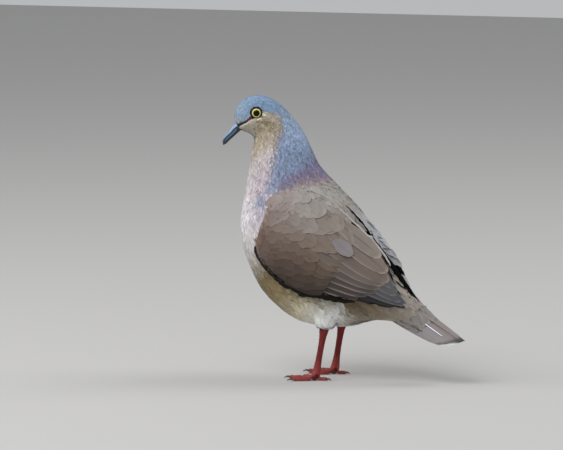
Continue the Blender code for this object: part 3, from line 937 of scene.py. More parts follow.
class Markings:
    """The plumage's colours over head, neck and body, the same for skin and feathers, with some
    painted shade and light.
    """

    BACK = (
        (0.0, (0.30, 0.26, 0.22)), (20.0, (0.31, 0.27, 0.23)), (38.0, (0.24, 0.205, 0.18)),
        (72.0, (0.23, 0.20, 0.18)), (95.0, (0.28, 0.25, 0.235)), (132.0, (0.29, 0.26, 0.245)),
        (138.0, (0.285, 0.235, 0.225)), (147.0, (0.285, 0.205, 0.215)), (156.0, (0.20, 0.17, 0.24)),
    )
    FLANK = (
        (0.0, (0.34, 0.30, 0.25)), (24.0, (0.25, 0.20, 0.145)), (45.0, OLIVE),
        (98.0, (0.17, 0.13, 0.07)), (108.0, (0.34, 0.30, 0.25)), (119.0, (0.58, 0.54, 0.55)),
        (134.0, (0.56, 0.48, 0.52)), (150.0, (0.50, 0.42, 0.46)), (168.0, (0.55, 0.49, 0.48)),
        (178.0, (0.43, 0.36, 0.27)),
    )
    UNDER = (
        (0.0, (0.44, 0.40, 0.34)), (14.0, (0.44, 0.39, 0.31)), (27.0, (0.29, 0.25, 0.19)),
        (37.0, (0.30, 0.26, 0.20)), (46.0, (0.66, 0.64, 0.58)), (52.0, (0.86, 0.87, 0.86)),
        (61.0, (0.86, 0.86, 0.80)), (69.0, (0.72, 0.67, 0.50)), (76.0, (0.44, 0.38, 0.25)),
        (87.0, (0.27, 0.205, 0.105)), (98.0, (0.19, 0.145, 0.08)), (108.0, (0.42, 0.39, 0.35)),
        (117.0, (0.60, 0.57, 0.57)), (127.0, (0.68, 0.645, 0.665)), (138.0, (0.66, 0.615, 0.635)),
        (150.0, (0.57, 0.52, 0.53)), (164.0, (0.52, 0.46, 0.445)), (173.0, (0.43, 0.36, 0.26)),
        (182.0, (0.42, 0.34, 0.22)), (192.0, (0.45, 0.41, 0.33)), (217.0, (0.48, 0.45, 0.38)),
    )
    # The lighter stops at arcs 175 to 182 are partly painted highlight, a sheen on the nape over
    # the hood's own blue-grey.
    HOOD = (
        (150.0, (0.20, 0.25, 0.36)), (168.0, (0.215, 0.28, 0.41)), (175.0, (0.29, 0.37, 0.53)),
        (182.0, (0.31, 0.40, 0.56)), (188.0, (0.26, 0.345, 0.47)), (194.0, (0.21, 0.31, 0.46)),
        (202.0, (0.23, 0.34, 0.51)), (209.0, (0.29, 0.39, 0.51)), (217.0, (0.34, 0.40, 0.44)),
    )
    HOOD_EDGE_ARC = (136, 142, 163, 175, 180, 183, 186.5, 190, 193, 197, 200, 204, 211, 217)
    HOOD_EDGE = (112, 99, 82, 73, 63, 60, 50, 48, 56, 68, 76, 88, 100, 112)
    BLUE_BEARING = (0.0, 23.0, 42.0, 68.0, 90.0, 106.0)
    BLUE_START = (165.0, 161.0, 156.0, 149.0, 138.0, 131.0)
    BROW_AHEAD = (53.4, 54.6, 57.4, 60.8, 63.4)
    BROW_UP = (183.2, 182.2, 179.9, 177.6, 176.4)
    FACE = (
        (176.0, (0.50, 0.44, 0.37)), (184.0, (0.43, 0.365, 0.255)), (193.0, (0.46, 0.415, 0.33)),
        (202.0, (0.47, 0.43, 0.34)), (214.0, (0.48, 0.44, 0.36)),
    )
    # Under the wing's lower edge: a deeper flank colour, partly its own and partly painted shade;
    # then painted shade under the wing's rear.
    OLIVE_AND_SHADE: Colour = (0.135, 0.098, 0.038)
    REAR_SHADE: Colour = (0.085, 0.062, 0.036)
    EAR: Colour = (0.235, 0.165, 0.085)
    CHEEK: Colour = (0.33, 0.26, 0.15)
    GAP_ARC = (4.0, 12.0, 30.0, 50.0, 70.0, 92.0)
    GAP_HALF = (0.3, 2.8, 3.6, 3.0, 2.1, 0.7)
    # Painted shadow: the near-black colour of the gap between the folded wings.
    PAINTED_GAP_SHADOW: Colour = (0.003, 0.0025, 0.0025)
    # Painted light: the pale blue-grey of the far wing's upper edge beyond the gap, as lit by the
    # sky.
    FAR_WING_SKYLIT: Colour = (0.42, 0.43, 0.45)
    PALE_LINE: Colour = (0.80, 0.74, 0.61)
    LORE_TONE: Colour = (0.012, 0.026, 0.040)
    LORE_REAR: Colour = (0.17, 0.035, 0.028)
    BRIDGE_TONE: Colour = (0.50, 0.46, 0.38)
    RIM: Colour = (0.62, 0.58, 0.50)
    PURPLE: Colour = (0.182, 0.163, 0.258)

    def __init__(self, spine: Spine) -> None:
        """Keeps the middle line that the markings are laid out on."""
        self.spine = spine

    def colour(self, points: Array) -> Array:
        """The plumage's colour at places on or near the surface."""
        arc, bearing, _ = self.spine.locate(points)
        arc = arc + 1.3 * mottle(points, 9.0, 3)
        round_ = np.abs(bearing) + 3.0 * mottle(points, 11.0, 4)
        body = blended(graded(arc, self.BACK), graded(arc, self.FLANK), eased(62.0, 92.0, round_))
        pale = hump(58.0, 18.0, arc)
        under = round_ + 14.0 * mottle(points, 16.0, 5) + 9.0 * pale
        under = eased(104.0, 132.0 - 8.0 * pale, under)
        body = blended(body, graded(arc, self.UNDER), under)
        # Darker under the wing: partly the flank's own colour and partly painted shade, then
        # painted shade under its rear.
        olive_and_shade = hump(119.0, 24.0, round_) * eased(44.0, 58.0, arc) * eased(104.0, 92.0, arc)
        body = blended(body, self.OLIVE_AND_SHADE, 0.66 * olive_and_shade)
        rear = hump(118.0, 22.0, round_) * hump(39.0, 13.0, arc)
        body = blended(body, self.REAR_SHADE, 0.6 * rear)
        colour = self._hooded(body, arc, round_)
        colour = self._faced(colour, arc, round_, points)
        # Beyond the parting the far wing's edge is painted pale, as skylight on it.
        beyond = eased(0.0, -1.5, points[..., 1] - self.parting(arc)) * (np.abs(bearing) < 75.0)
        beyond = beyond * eased(104.0, 84.0, arc) * eased(0.0, 10.0, arc)
        colour = blended(colour, self.FAR_WING_SKYLIT, 0.85 * beyond)
        # The gap between the wings is painted near black, a painted shadow.
        colour = blended(colour, self.PAINTED_GAP_SHADOW, self.groove(points))
        shade = 1.0 + 0.07 * mottle(points, 5.0, 6) + 0.05 * mottle(points, 2.2, 7)
        return np.clip(colour * shade[..., None], 0.0, 0.9)

    def _hooded(self, body: Array, arc: Array, round_: Array) -> Array:
        """Lays the blue-grey hood and the purple hind neck over the body's colours."""
        edge = np.interp(arc, self.HOOD_EDGE_ARC, self.HOOD_EDGE)
        soft = np.interp(arc, (140.0, 150.0, 180.0, 195.0), (17.0, 13.0, 12.0, 7.0))
        inside = eased(soft, -soft, round_ - edge)
        start = np.interp(round_, self.BLUE_BEARING, self.BLUE_START)
        blue = inside * eased(start - 5.0, start + 4.0, arc)
        lower = 8.0 * hump(68.0, 20.0, round_)
        purple = inside * eased(140.0 - lower, 152.0 - lower, arc) * eased(92.0, 74.0, round_)
        body = blended(body, self.PURPLE, purple)
        return blended(body, graded(arc, self.HOOD), blue)

    @staticmethod
    def lore(head: Array) -> tuple[Array, Array]:
        """How far outside the bare line from bill to eye places are, and how far along it."""
        gap, along = from_path(head[..., [0, 2]], LORE)
        thick = np.interp(along, (0.0, 0.25, 0.5, 0.7, 1.0), (0.75, 0.85, 0.6, 0.75, 1.4))
        return gap - thick, along

    def _faced(self, colour: Array, arc: Array, round_: Array, points: Array) -> Array:
        """Lays the buff face, with its darker ear streak and the lines about eye and bill."""
        edge = np.interp(arc, self.HOOD_EDGE_ARC, self.HOOD_EDGE)
        face = eased(174.0, 185.0, arc) * eased(-6.0, 7.0, round_ - edge)
        face = face * eased(152.0, 128.0, round_)
        colour = blended(colour, graded(arc, self.FACE), face)
        ear = hump(190.0, 7.0, arc) * hump(92.0, 18.0, round_)
        colour = blended(colour, self.EAR, 0.9 * ear)
        cheek = hump(191.0, 9.0, arc) * hump(128.0, 24.0, round_)
        colour = blended(colour, self.CHEEK, 0.7 * cheek)
        head = head_place(points)
        flat = head[..., [0, 2]]
        beside = eased(1.2, 2.4, np.abs(head[..., 1])) * (arc > 190.0)
        ahead = head[..., 0]
        brow = eased(0.2, 0.9, head[..., 2] - np.interp(ahead, self.BROW_AHEAD, self.BROW_UP))
        brow = brow * (ahead > 52.5) * eased(65.0, 63.0, ahead)
        colour = blended(colour, graded(arc, self.HOOD), brow * (arc > 190.0))
        colour = blended(colour, self.RIM, lined(flat, FACE_WEDGE, 1.3, 0.5) * beside)
        gap, angle = EYE.distance(head)
        rim = hump(EYE.ring + 0.4, 0.8, gap) * beside * (0.2 + 0.3 * (angle < 0.0))
        colour = blended(colour, self.RIM, rim)
        line, far = from_path(flat, PALE_LINE)
        line = eased(1.1, 0.45, line) * beside * eased(0.0, 0.12, far)
        colour = blended(colour, self.PALE_LINE, line)
        bridge = 0.5 * lined(flat, BRIDGE, 1.2, 0.4) * (arc > 200.0)
        colour = blended(colour, self.BRIDGE_TONE, bridge)
        colour = blended(colour, self.EAR, 0.85 * lined(flat, EAR_STREAK, 1.3, 0.3) * beside)
        lore, along = self.lore(head)
        tone = blended(self.LORE_TONE, self.LORE_REAR, eased(0.5, 0.8, along))
        colour = blended(colour, tone, eased(0.3, -0.1, lore) * beside)
        return blended(colour, self.LORE_TONE, lined(flat, GAPE, 0.8, 0.3) * beside)

    def groove(self, points: Array, wider: float = 0.0) -> Array:
        """How much places lie in the gap between the folded wings over the back, sunk and painted
        black as shadow.
        """
        arc, bearing, _ = self.spine.locate(points)
        half = wider + np.interp(arc, self.GAP_ARC, self.GAP_HALF)
        share = eased(half + 0.4, half - 0.4, np.abs(points[..., 1] - self.parting(arc)))
        share = share * eased(3.0, 9.0, arc) * eased(95.0, 86.0, arc)
        return share * (np.abs(bearing) < 60.0)

    @staticmethod
    def parting(arc: Array) -> Array:
        """How far to the left of the middle the wings part."""
        return np.interp(arc, (10.0, 35.0, 60.0, 92.0), (0.0, 0.6, 3.6, 8.0))

    @staticmethod
    def bare(points: Array) -> Array:
        """Whether places are on the bare skin of eye rings and lores."""
        head = head_place(points)
        gap, _ = EYE.distance(head)
        lore, _ = Markings.lore(head)
        beside = (np.abs(head[..., 1]) > 2.0) & (head[..., 2] > 170.0) & (head[..., 0] > 40.0)
        return beside & ((gap < EYE.ring + 0.15) | (lore < 0.0))


# ---- legs and skin


@dataclass(frozen=True)
class Toe:
    """A toe: its bearing from straight ahead in degrees, outwards positive, with its sizes."""

    name: str
    bearing: float
    root: float
    length: float
    radius: float


TOES = (
    Toe("hind", 180.0, 0.0, 7.4, 1.5),
    Toe("inner", -34.0, -2.4, 14.5, 1.55),
    Toe("middle", -1.0, 0.0, 19.5, 1.7),
    Toe("outer", 31.0, 2.4, 15.5, 1.55),
)
SIDE_NAMES = {1.0: "left", -1.0: "right"}
LEG_SKIN_TOP = 36.6
FLESH = ["head", "neck", "trunk", "thigh_left", "thigh_right"]


def leg_nodes(side: float) -> list[str]:
    """The solids of one shank and its toes."""
    label = SIDE_NAMES[side]
    return [f"tarsus_{label}"] + [f"toe_{label}_{toe.name}" for toe in TOES]


class LegScales:
    """The rows of plates on shanks and toes: how high they stand, and where their grooves are."""

    SHANK_PITCH = 2.35
    TOE_PITCH = 1.75
    HEIGHT = 0.24

    def __init__(self, side: float) -> None:
        """Finds one leg's axes."""
        self.side = side
        self.hock = np.array([FORWARD - 5.6, 17.0 * side, 37.0])
        self.foot = np.array([FORWARD, 18.0 * side, 5.6])

    def relief(self, points: Array) -> tuple[Array, Array]:
        """What the plates add at points of the leg.

        Args:
            points: Places on the smooth leg.

        Returns:
            The height to add there, and how much of a groove the place is, from 0 to 1.
        """
        best, share = from_path(points, (self.hock, self.foot))
        length = float(np.linalg.norm(self.foot - self.hock))
        lean = (self.foot[0] - self.hock[0]) / (self.hock[2] - self.foot[2])
        off = points - self.foot
        front = eased(-0.2, 0.5, off[:, 0] + lean * off[:, 2])
        height, groove = self._plates(share * length / self.SHANK_PITCH, front)
        for toe in TOES:
            bearing = math.radians(toe.bearing) * self.side
            ahead = np.array([math.cos(bearing), math.sin(bearing), 0.0])
            start = np.array([self.foot[0], self.foot[1] + toe.root * self.side, toe.radius])
            gap, along = from_path(points, (start, start + ahead * toe.length))
            top = eased(-0.1, 0.8, points[:, 2] - toe.radius)
            raised, furrow = self._plates(along * toe.length / self.TOE_PITCH, top)
            closer = (gap < best) & (points[:, 2] < 8.0)
            best = np.where(closer, gap, best)
            height = np.where(closer, raised, height)
            groove = np.where(closer, furrow, groove)
        return height, groove

    def _plates(self, count: Array, facing: Array) -> tuple[Array, Array]:
        """Overlapping plates along a line, on the side that faces the right way."""
        part = count % 1.0
        plate = self.HEIGHT * (part**1.5 * eased(1.0, 0.88, part)) * facing
        groove = (eased(0.80, 0.98, part) + eased(0.12, 0.0, part)) * facing
        return plate, np.clip(groove, 0.0, 1.0)


class Skin:
    """One unbroken skin over head, neck, trunk, thighs, shanks and toes, with raised eye rings."""

    DEPTH_ARC = (0.0, 20.0, 60.0, 110.0, 150.0, 178.0, 195.0, 210.0, 218.0)
    DEPTH = (0.8, 1.1, 1.4, 1.4, 1.1, 0.8, 0.6, 0.5, 0.3)
    LEG_TONE: Colour = (0.17, 0.016, 0.014)
    TOE_TONE: Colour = (0.27, 0.040, 0.036)
    SOLE_TONE: Colour = (0.30, 0.09, 0.07)
    GROOVE_TONE: Colour = (0.07, 0.008, 0.007)
    RING_TONE: Colour = (0.018, 0.022, 0.036)
    SOCKET = 8.95  # how far out from the head's middle the skin round the eye lies
    SHADE = 0.82  # the skin's tone beside that of the feathers over it
    RING_CELLS = (96, 12)  # round the eye, and round the ring's own section
    RING_RADIUS = 3.42
    RING_OUT = 2.80  # from the ball's centre
    RING_HALF = (0.34, 0.50)  # of its section, across and outwards
    RING_EDGE = 3.82  # where its colour ends
    BEADS = 24

    def __init__(self, form: Form, spine: Spine, markings: Markings) -> None:
        """Keeps the outer form of the coat that it lies under."""
        self.form, self.spine, self.markings = form, spine, markings
        self.legs = {side: Form(leg_nodes(side), voxel=0.3, rounds=3) for side in SIDES}

    def _under_coat(self) -> Array:
        """The body's form moved inwards by the depth of the coat."""
        points = self.form.points
        arc, _, _ = self.spine.locate(points)
        depth = np.interp(arc, self.DEPTH_ARC, self.DEPTH)
        low = np.interp(points[:, 2], (36.0, 42.0, 56.0), (0.25, 1.0, 3.0))
        depth = np.minimum(depth, low) + GROOVE_DEPTH * self.markings.groove(points)
        moved = relaxed(points - self.form.normals * depth[:, None], self.form.quads, 2)
        head = head_place(moved)
        gap, _ = EYE.distance(head)
        outer = np.abs(head[:, 1])
        near = eased(6.4, 4.2, gap) * (head[:, 0] > 40.0) * (outer > 4.0)
        outer = outer + (self.SOCKET - outer) * near
        head[:, 1] = np.sign(head[:, 1]) * outer
        return from_head(head)

    def _scaled_leg(self, side: float) -> Array:
        """A leg's form with its plates raised."""
        form = self.legs[side]
        height, _ = LegScales(side).relief(form.points)
        lifted = form.points + form.normals * height[:, None]
        lifted[:, 2] = np.maximum(lifted[:, 2], 0.0)
        return lifted

    @staticmethod
    def _eye_ring(side: float) -> tuple[Array, Array]:
        """A closed beaded ring of bare skin round one eye, standing a little proud."""
        turn, section = (
            np.linspace(0.0, 2.0 * math.pi, cells, endpoint=False) for cells in Skin.RING_CELLS
        )
        turn = turn[:, None]
        bead = 1.0 + 0.10 * np.cos(Skin.BEADS * turn) * np.clip(np.cos(section), 0.0, 1.0)
        middle = Skin.RING_RADIUS + 0.05 * np.cos(2.0 * (turn - 0.6))
        out = middle + Skin.RING_HALF[0] * bead * np.sin(section)
        high = Skin.RING_OUT + Skin.RING_HALF[1] * bead * np.cos(section)
        local = together(out * np.cos(turn), high * side, out * np.sin(turn))
        centre = np.array([EYE.centre[0], EYE.centre[1] * side, EYE.centre[2]])
        points = from_head(local + centre)
        index = np.arange(out.size).reshape(Skin.RING_CELLS)
        ahead, round_ = np.roll(index, -1, axis=0), np.roll(index, -1, axis=1)
        quads = together(index, round_, np.roll(ahead, -1, axis=1), ahead).reshape(-1, 4)
        return points.reshape(-1, 3), quads if side > 0.0 else quads[:, ::-1]

    def _joined(self) -> bpy.types.Mesh:
        """Unites the body, the legs and the eye rings into one closed mesh."""
        sheets = [(self._under_coat(), self.form.quads)]
        for side in SIDES:
            sheets.append((self._scaled_leg(side), self.legs[side].quads))
            sheets.append(self._eye_ring(side))
        helpers = [
            mesh_from(f"sheet_{index}", points, quads, (0.0, 0.0, 0.0))
            for index, (points, quads) in enumerate(sheets)
        ]
        base = helpers[0]
        for helper in helpers[1:]:
            join = base.modifiers.new("join", "BOOLEAN")
            join.operation = "UNION"
            join.solver = "EXACT"
            join.object = helper
        graph = bpy.context.evaluated_depsgraph_get()
        joined = bpy.data.meshes.new_from_object(base.evaluated_get(graph))
        for helper in helpers:
            sheet = helper.data
            bpy.data.objects.remove(helper)
            bpy.data.meshes.remove(sheet)
        return joined

    def _colours(self, points: Array) -> tuple[Array, Array, Array]:
        """The skin's colours, and where it is leg skin or bare ring skin."""
        colours = self.markings.colour(points) * self.SHADE
        head = head_place(points)
        gap, _ = EYE.distance(head)
        ring = (gap < self.RING_EDGE) & (np.abs(head[:, 1]) > 5.0) & (head[:, 0] > 40.0)
        colours[ring] = self.RING_TONE
        leg = points[:, 2] < LEG_SKIN_TOP
        for side in SIDES:
            mine = leg & (points[:, 1] * side > 0.0)
            _, groove = LegScales(side).relief(points[mine])
            high = points[mine][:, 2]
            tone = blended(self.LEG_TONE, self.TOE_TONE, eased(16.0, 5.0, high))
            tone = tone * (1.0 + 0.22 * mottle(points[mine], 5.0, 31))[:, None]
            tone = blended(tone, self.SOLE_TONE, eased(1.3, 0.4, high))
            colours[mine] = blended(tone, self.GROOVE_TONE, 0.95 * groove)
        return colours, leg, ring | (self.markings.bare(points) & ~leg)

    def build(self) -> bpy.types.Object:
        """Makes the skin."""
        mesh = self._joined()
        mesh.name = "skin"
        colours, leg, ring = self._colours(vertices_of(mesh))
        painted(mesh, colours)
        mesh.shade_smooth()
        nodes = FLESH + leg_nodes(1.0) + leg_nodes(-1.0)
        finishes = (FEATHERED_SKIN, LEG_SKIN, EYE_RING_SKIN)
        made = fitted(linked("skin", mesh), "leg_skin", finishes, *nodes)
        for face in mesh.polygons:
            first = face.vertices[0]
            face.material_index = 1 if leg[first] else 2 if ring[first] else 0
        return made


# ---- wings


@dataclass(frozen=True)
class Tint:
    """The folded wing's colour near a place along it and up it."""

    along: float
    up: float
    tone: Colour


@dataclass(frozen=True)
class Row:
    """A row of like feathers on the folded wing, given by where their tips lie."""

    tips: tuple[tuple[float, float], ...]  # places along the wing and up it, lowest feather first
    count: int
    length: float
    width: float
    layer: float  # how high the tips stand over the wing's form
    slant: float  # degrees that they point below the wing's own lie
    tone: Colour | None = None  # in place of the wing's own colour there


@dataclass(frozen=True)
class Quill:
    """One long feather of the folded wing, from its root to its tip."""

    root: tuple[float, float]
    tip: tuple[float, float]
    width: float
    layer: float
    tone: Colour
    edge: Colour  # along its lower edge
    bow: float = 0.03  # how far its middle bends upwards, as a share of its length


# The tints lowest on the wing, up to about 0.2 high, are darker than the coverts' own brown as
# painted shade along the wing's lower edge.
WING_TINTS = (
    Tint(0.1, 0.40, (0.172, 0.112, 0.086)), Tint(0.5, 0.05, (0.105, 0.074, 0.060)),
    Tint(0.75, 0.22, (0.158, 0.112, 0.093)), Tint(0.3, 0.75, (0.245, 0.180, 0.155)),
    Tint(0.5, 1.05, (0.290, 0.225, 0.215)), Tint(1.2, 1.00, (0.300, 0.268, 0.250)),
    Tint(1.3, 0.75, (0.285, 0.230, 0.212)), Tint(1.1, 0.45, (0.180, 0.126, 0.100)),
    Tint(1.3, 0.18, (0.095, 0.068, 0.055)), Tint(1.78, 0.60, (0.165, 0.120, 0.098)),
    Tint(2.4, 0.45, (0.120, 0.082, 0.064)), Tint(2.75, 0.24, (0.120, 0.086, 0.071)),
    Tint(3.65, 0.48, (0.200, 0.142, 0.098)), Tint(2.4, 0.85, (0.355, 0.335, 0.315)),
    Tint(3.5, 0.82, (0.235, 0.205, 0.165)), Tint(2.1, 1.00, (0.345, 0.325, 0.305)),
    Tint(2.1, 0.75, (0.302, 0.262, 0.242)), Tint(2.0, 0.45, (0.150, 0.108, 0.082)),
    Tint(2.2, 0.12, (0.034, 0.024, 0.018)), Tint(3.0, 1.00, (0.350, 0.328, 0.305)),
    Tint(3.0, 0.75, (0.250, 0.210, 0.194)), Tint(3.0, 0.42, (0.148, 0.106, 0.078)),
    Tint(3.1, 0.10, (0.036, 0.026, 0.020)), Tint(4.0, 0.95, (0.345, 0.295, 0.250)),
    Tint(3.9, 0.72, (0.240, 0.200, 0.180)), Tint(4.0, 0.42, (0.158, 0.118, 0.090)),
    Tint(4.0, 0.12, (0.045, 0.034, 0.029)), Tint(5.0, 0.60, (0.175, 0.134, 0.110)),
)
LILAC: Colour = (0.268, 0.238, 0.248)
# Painted light: the pale tone of the wings' upper edges towards the rear, as lit by the sky.
SKYLIT_EDGE: Colour = (0.40, 0.385, 0.37)
ROW_CUT = VaneCut(8, 8, 0.45, 0.72, 0.6, 1.0, 0.012, 0.03, 0.16)
SMALL_ROW_CUT = VaneCut(6, 6, 0.45, 0.72, 0.6, 1.0, 0.03, 0.03, 0.14)
QUILL_CUT = VaneCut(18, 10, 0.55, 0.60, 0.7, 1.45, 0.003, 0.0, 0.26)
RIDGE_CUT = VaneCut(12, 4, 0.6, 0.6, 0.7, 1.2, 0.01, 0.08, 0.2)
LESSER_PLACES = (1.10, 1.30, 1.60, 1.92, 2.26, 2.62, 3.0, 3.38)
GREATER_ROWS = (
    Row(
        ((3.70, 0.01), (3.86, 0.13), (4.00, 0.24), (4.20, 0.34), (4.36, 0.48), (4.4, 0.6)),
        8, 25.0, 10.0, 0.02, 3.0,
    ),
    Row(((3.15, 0.04), (3.55, 0.05), (4.0, 0.045)), 3, 17.0, 5.5, -0.1, -2.0),
)
SCAPULAR_ROWS = (
    Row(
        (
            (1.45, 0.63), (2.05, 0.585), (2.6, 0.555), (3.25, 0.54), (3.9, 0.60), (4.3, 0.70),
            (4.3, 0.78),
        ),
        9, 17.0, 12.5, 0.34, 0.0,
    ),
    Row(
        ((1.2, 0.73), (1.9, 0.68), (2.7, 0.66), (3.3, 0.70), (3.7, 0.78), (3.75, 0.84)),
        9, 15.0, 11.5, 0.38, 0.0,
    ),
    Row(
        ((1.0, 0.83), (1.7, 0.79), (2.4, 0.78), (2.9, 0.81), (3.1, 0.85)), 8, 13.0, 10.0, 0.40, 0.0
    ),
    Row(((0.8, 0.91), (1.4, 0.89), (2.0, 0.88), (2.4, 0.88)), 7, 11.5, 9.0, 0.42, 0.0),
)
LILAC_FEATHER = Row(((4.50, 0.665), (4.502, 0.665)), 1, 15.5, 7.4, 0.95, 2.0, LILAC)
# Painted shade: near-black small feathers peeking from under the wing's lower edge, where it stands
# off the flank.
SHADE_UNDER_WING_EDGE = Row(
    (
        (0.55, 0.014), (1.0, -0.006), (1.7, -0.012), (2.5, -0.020), (3.3, -0.026), (4.2, -0.026),
        (5.0, 0.0),
    ),
    44, 9.0, 3.5, 0.10, 0.0, (0.006, 0.005, 0.0045),
)
DARK: Colour = (0.070, 0.063, 0.062)
PINK: Colour = (0.33, 0.24, 0.205)
# The two lowest quills are near black, partly the primaries' own dark colour and partly painted
# shade under the wing's lower edge.
QUILLS = (
    Quill((3.4, 0.10), (6.70, 0.03), 8.0, -0.75, (0.022, 0.020, 0.020), (0.024, 0.022, 0.022)),
    Quill((3.4, 0.16), (7.30, 0.12), 9.0, -0.60, (0.030, 0.028, 0.028), (0.040, 0.038, 0.040)),
    Quill((3.5, 0.28), (7.80, 0.27), 9.5, -0.45, (0.082, 0.080, 0.088), (0.150, 0.145, 0.155)),
    Quill((3.6, 0.44), (7.45, 0.42), 9.5, -0.32, (0.096, 0.094, 0.102), (0.165, 0.160, 0.168)),
    Quill((3.8, 0.58), (7.05, 0.58), 9.5, -0.22, (0.108, 0.105, 0.112), (0.175, 0.168, 0.174)),
    Quill((3.8, 0.68), (6.75, 0.72), 9.0, -0.14, (0.125, 0.120, 0.122), (0.180, 0.172, 0.175)),
    Quill((3.2, 0.11), (5.05, 0.07), 8.0, -0.26, (0.050, 0.044, 0.043), PINK),
    Quill((3.2, 0.18), (5.42, 0.17), 9.0, -0.16, DARK, PINK),
    Quill((3.2, 0.26), (5.80, 0.29), 9.5, -0.06, (0.082, 0.073, 0.069), PINK),
    Quill((3.0, 0.36), (5.96, 0.40), 11.0, 0.02, (0.120, 0.102, 0.093), (0.24, 0.185, 0.16)),
    Quill((2.9, 0.49), (6.14, 0.53), 12.5, 0.10, (0.166, 0.136, 0.122), (0.22, 0.175, 0.15)),
    Quill((2.8, 0.62), (6.36, 0.68), 13.0, 0.19, (0.172, 0.136, 0.114), (0.24, 0.195, 0.165)),
    Quill((2.7, 0.76), (6.12, 0.80), 11.0, 0.28, (0.200, 0.160, 0.136), (0.27, 0.225, 0.195)),
    Quill((2.6, 0.86), (5.50, 0.88), 8.0, 0.36, (0.225, 0.186, 0.160), (0.29, 0.25, 0.22)),
)


class WingMap:
    """Places along a folded wing and up it, and the wing's colours there."""

    LOWER = (
        (41.6, 89), (37, 82.5), (24, 71.6), (6, 64), (-14, 60.4),
        (-33, 57.2), (-47.5, 54.8), (-58.5, 53.8), (-66.4, 54.4),
    )
    UPPER = (
        (33.5, 121), (22.5, 131), (6.5, 134.6), (-11, 127.2), (-27, 113),
        (-40.4, 98), (-50.5, 84.6), (-57.5, 68.5), (-65.6, 56.9),
    )
    STEPS = 8.0  # from the wing's front to its tip
    SPREAD = 0.42  # how far one tint reaches, in steps along the wing
    UP_SCALE = 2.6  # steps along the wing that its height is worth

    def plane(self, place: Array) -> Array:
        """The spot, ahead and up, of places along the wing and up it."""
        lower = through(np.array(self.LOWER, float), place[..., 0])
        upper = through(np.array(self.UPPER, float), place[..., 0])
        return lower + (upper - lower) * place[..., 1:] + np.array([FORWARD, 0.0])

    def lie(self, place: Array, slant: float) -> Array:
        """The way feathers point, seen from the side, at places on the wing."""
        step = np.array([0.15, 0.0])
        way = unit(self.plane(place + step) - self.plane(place - step))
        cos, sin = math.cos(math.radians(slant)), math.sin(math.radians(slant))
        # The lie runs backwards, so turning it anticlockwise points it downwards.
        back, up = way[..., 0], way[..., 1]
        return together(back * cos - up * sin, back * sin + up * cos)

    def place(self, points: Array) -> Array:
        """Where points of the body or wing are along the wing and up it, seen from the side."""
        grid = together(np.linspace(-0.5, self.STEPS, 120)[:, None], np.linspace(-0.2, 1.3, 61))
        grid = grid.reshape(-1, 2)
        tree = KDTree(len(grid))
        for index, spot in enumerate(self.plane(grid).tolist()):
            tree.insert((*spot, 0.0), index)
        tree.balance()
        found = [tree.find((x, z, 0.0))[1] for x, _, z in points.tolist()]
        return grid[found]

    def colour(self, place: Array) -> Array:
        """The coverts' colour at places on the wing."""
        spots = np.array([[tint.along, tint.up * self.UP_SCALE] for tint in WING_TINTS])
        tones = np.array([tint.tone for tint in WING_TINTS])
        here = place * np.array([1.0, self.UP_SCALE])
        gap = ((here[..., None, :] - spots) ** 2).sum(axis=-1)
        weight = np.exp(-gap / (2.0 * self.SPREAD**2)) + 1e-9
        return (weight[..., None] * tones).sum(axis=-2) / weight.sum(axis=-1, keepdims=True)


WING_MAP = WingMap()


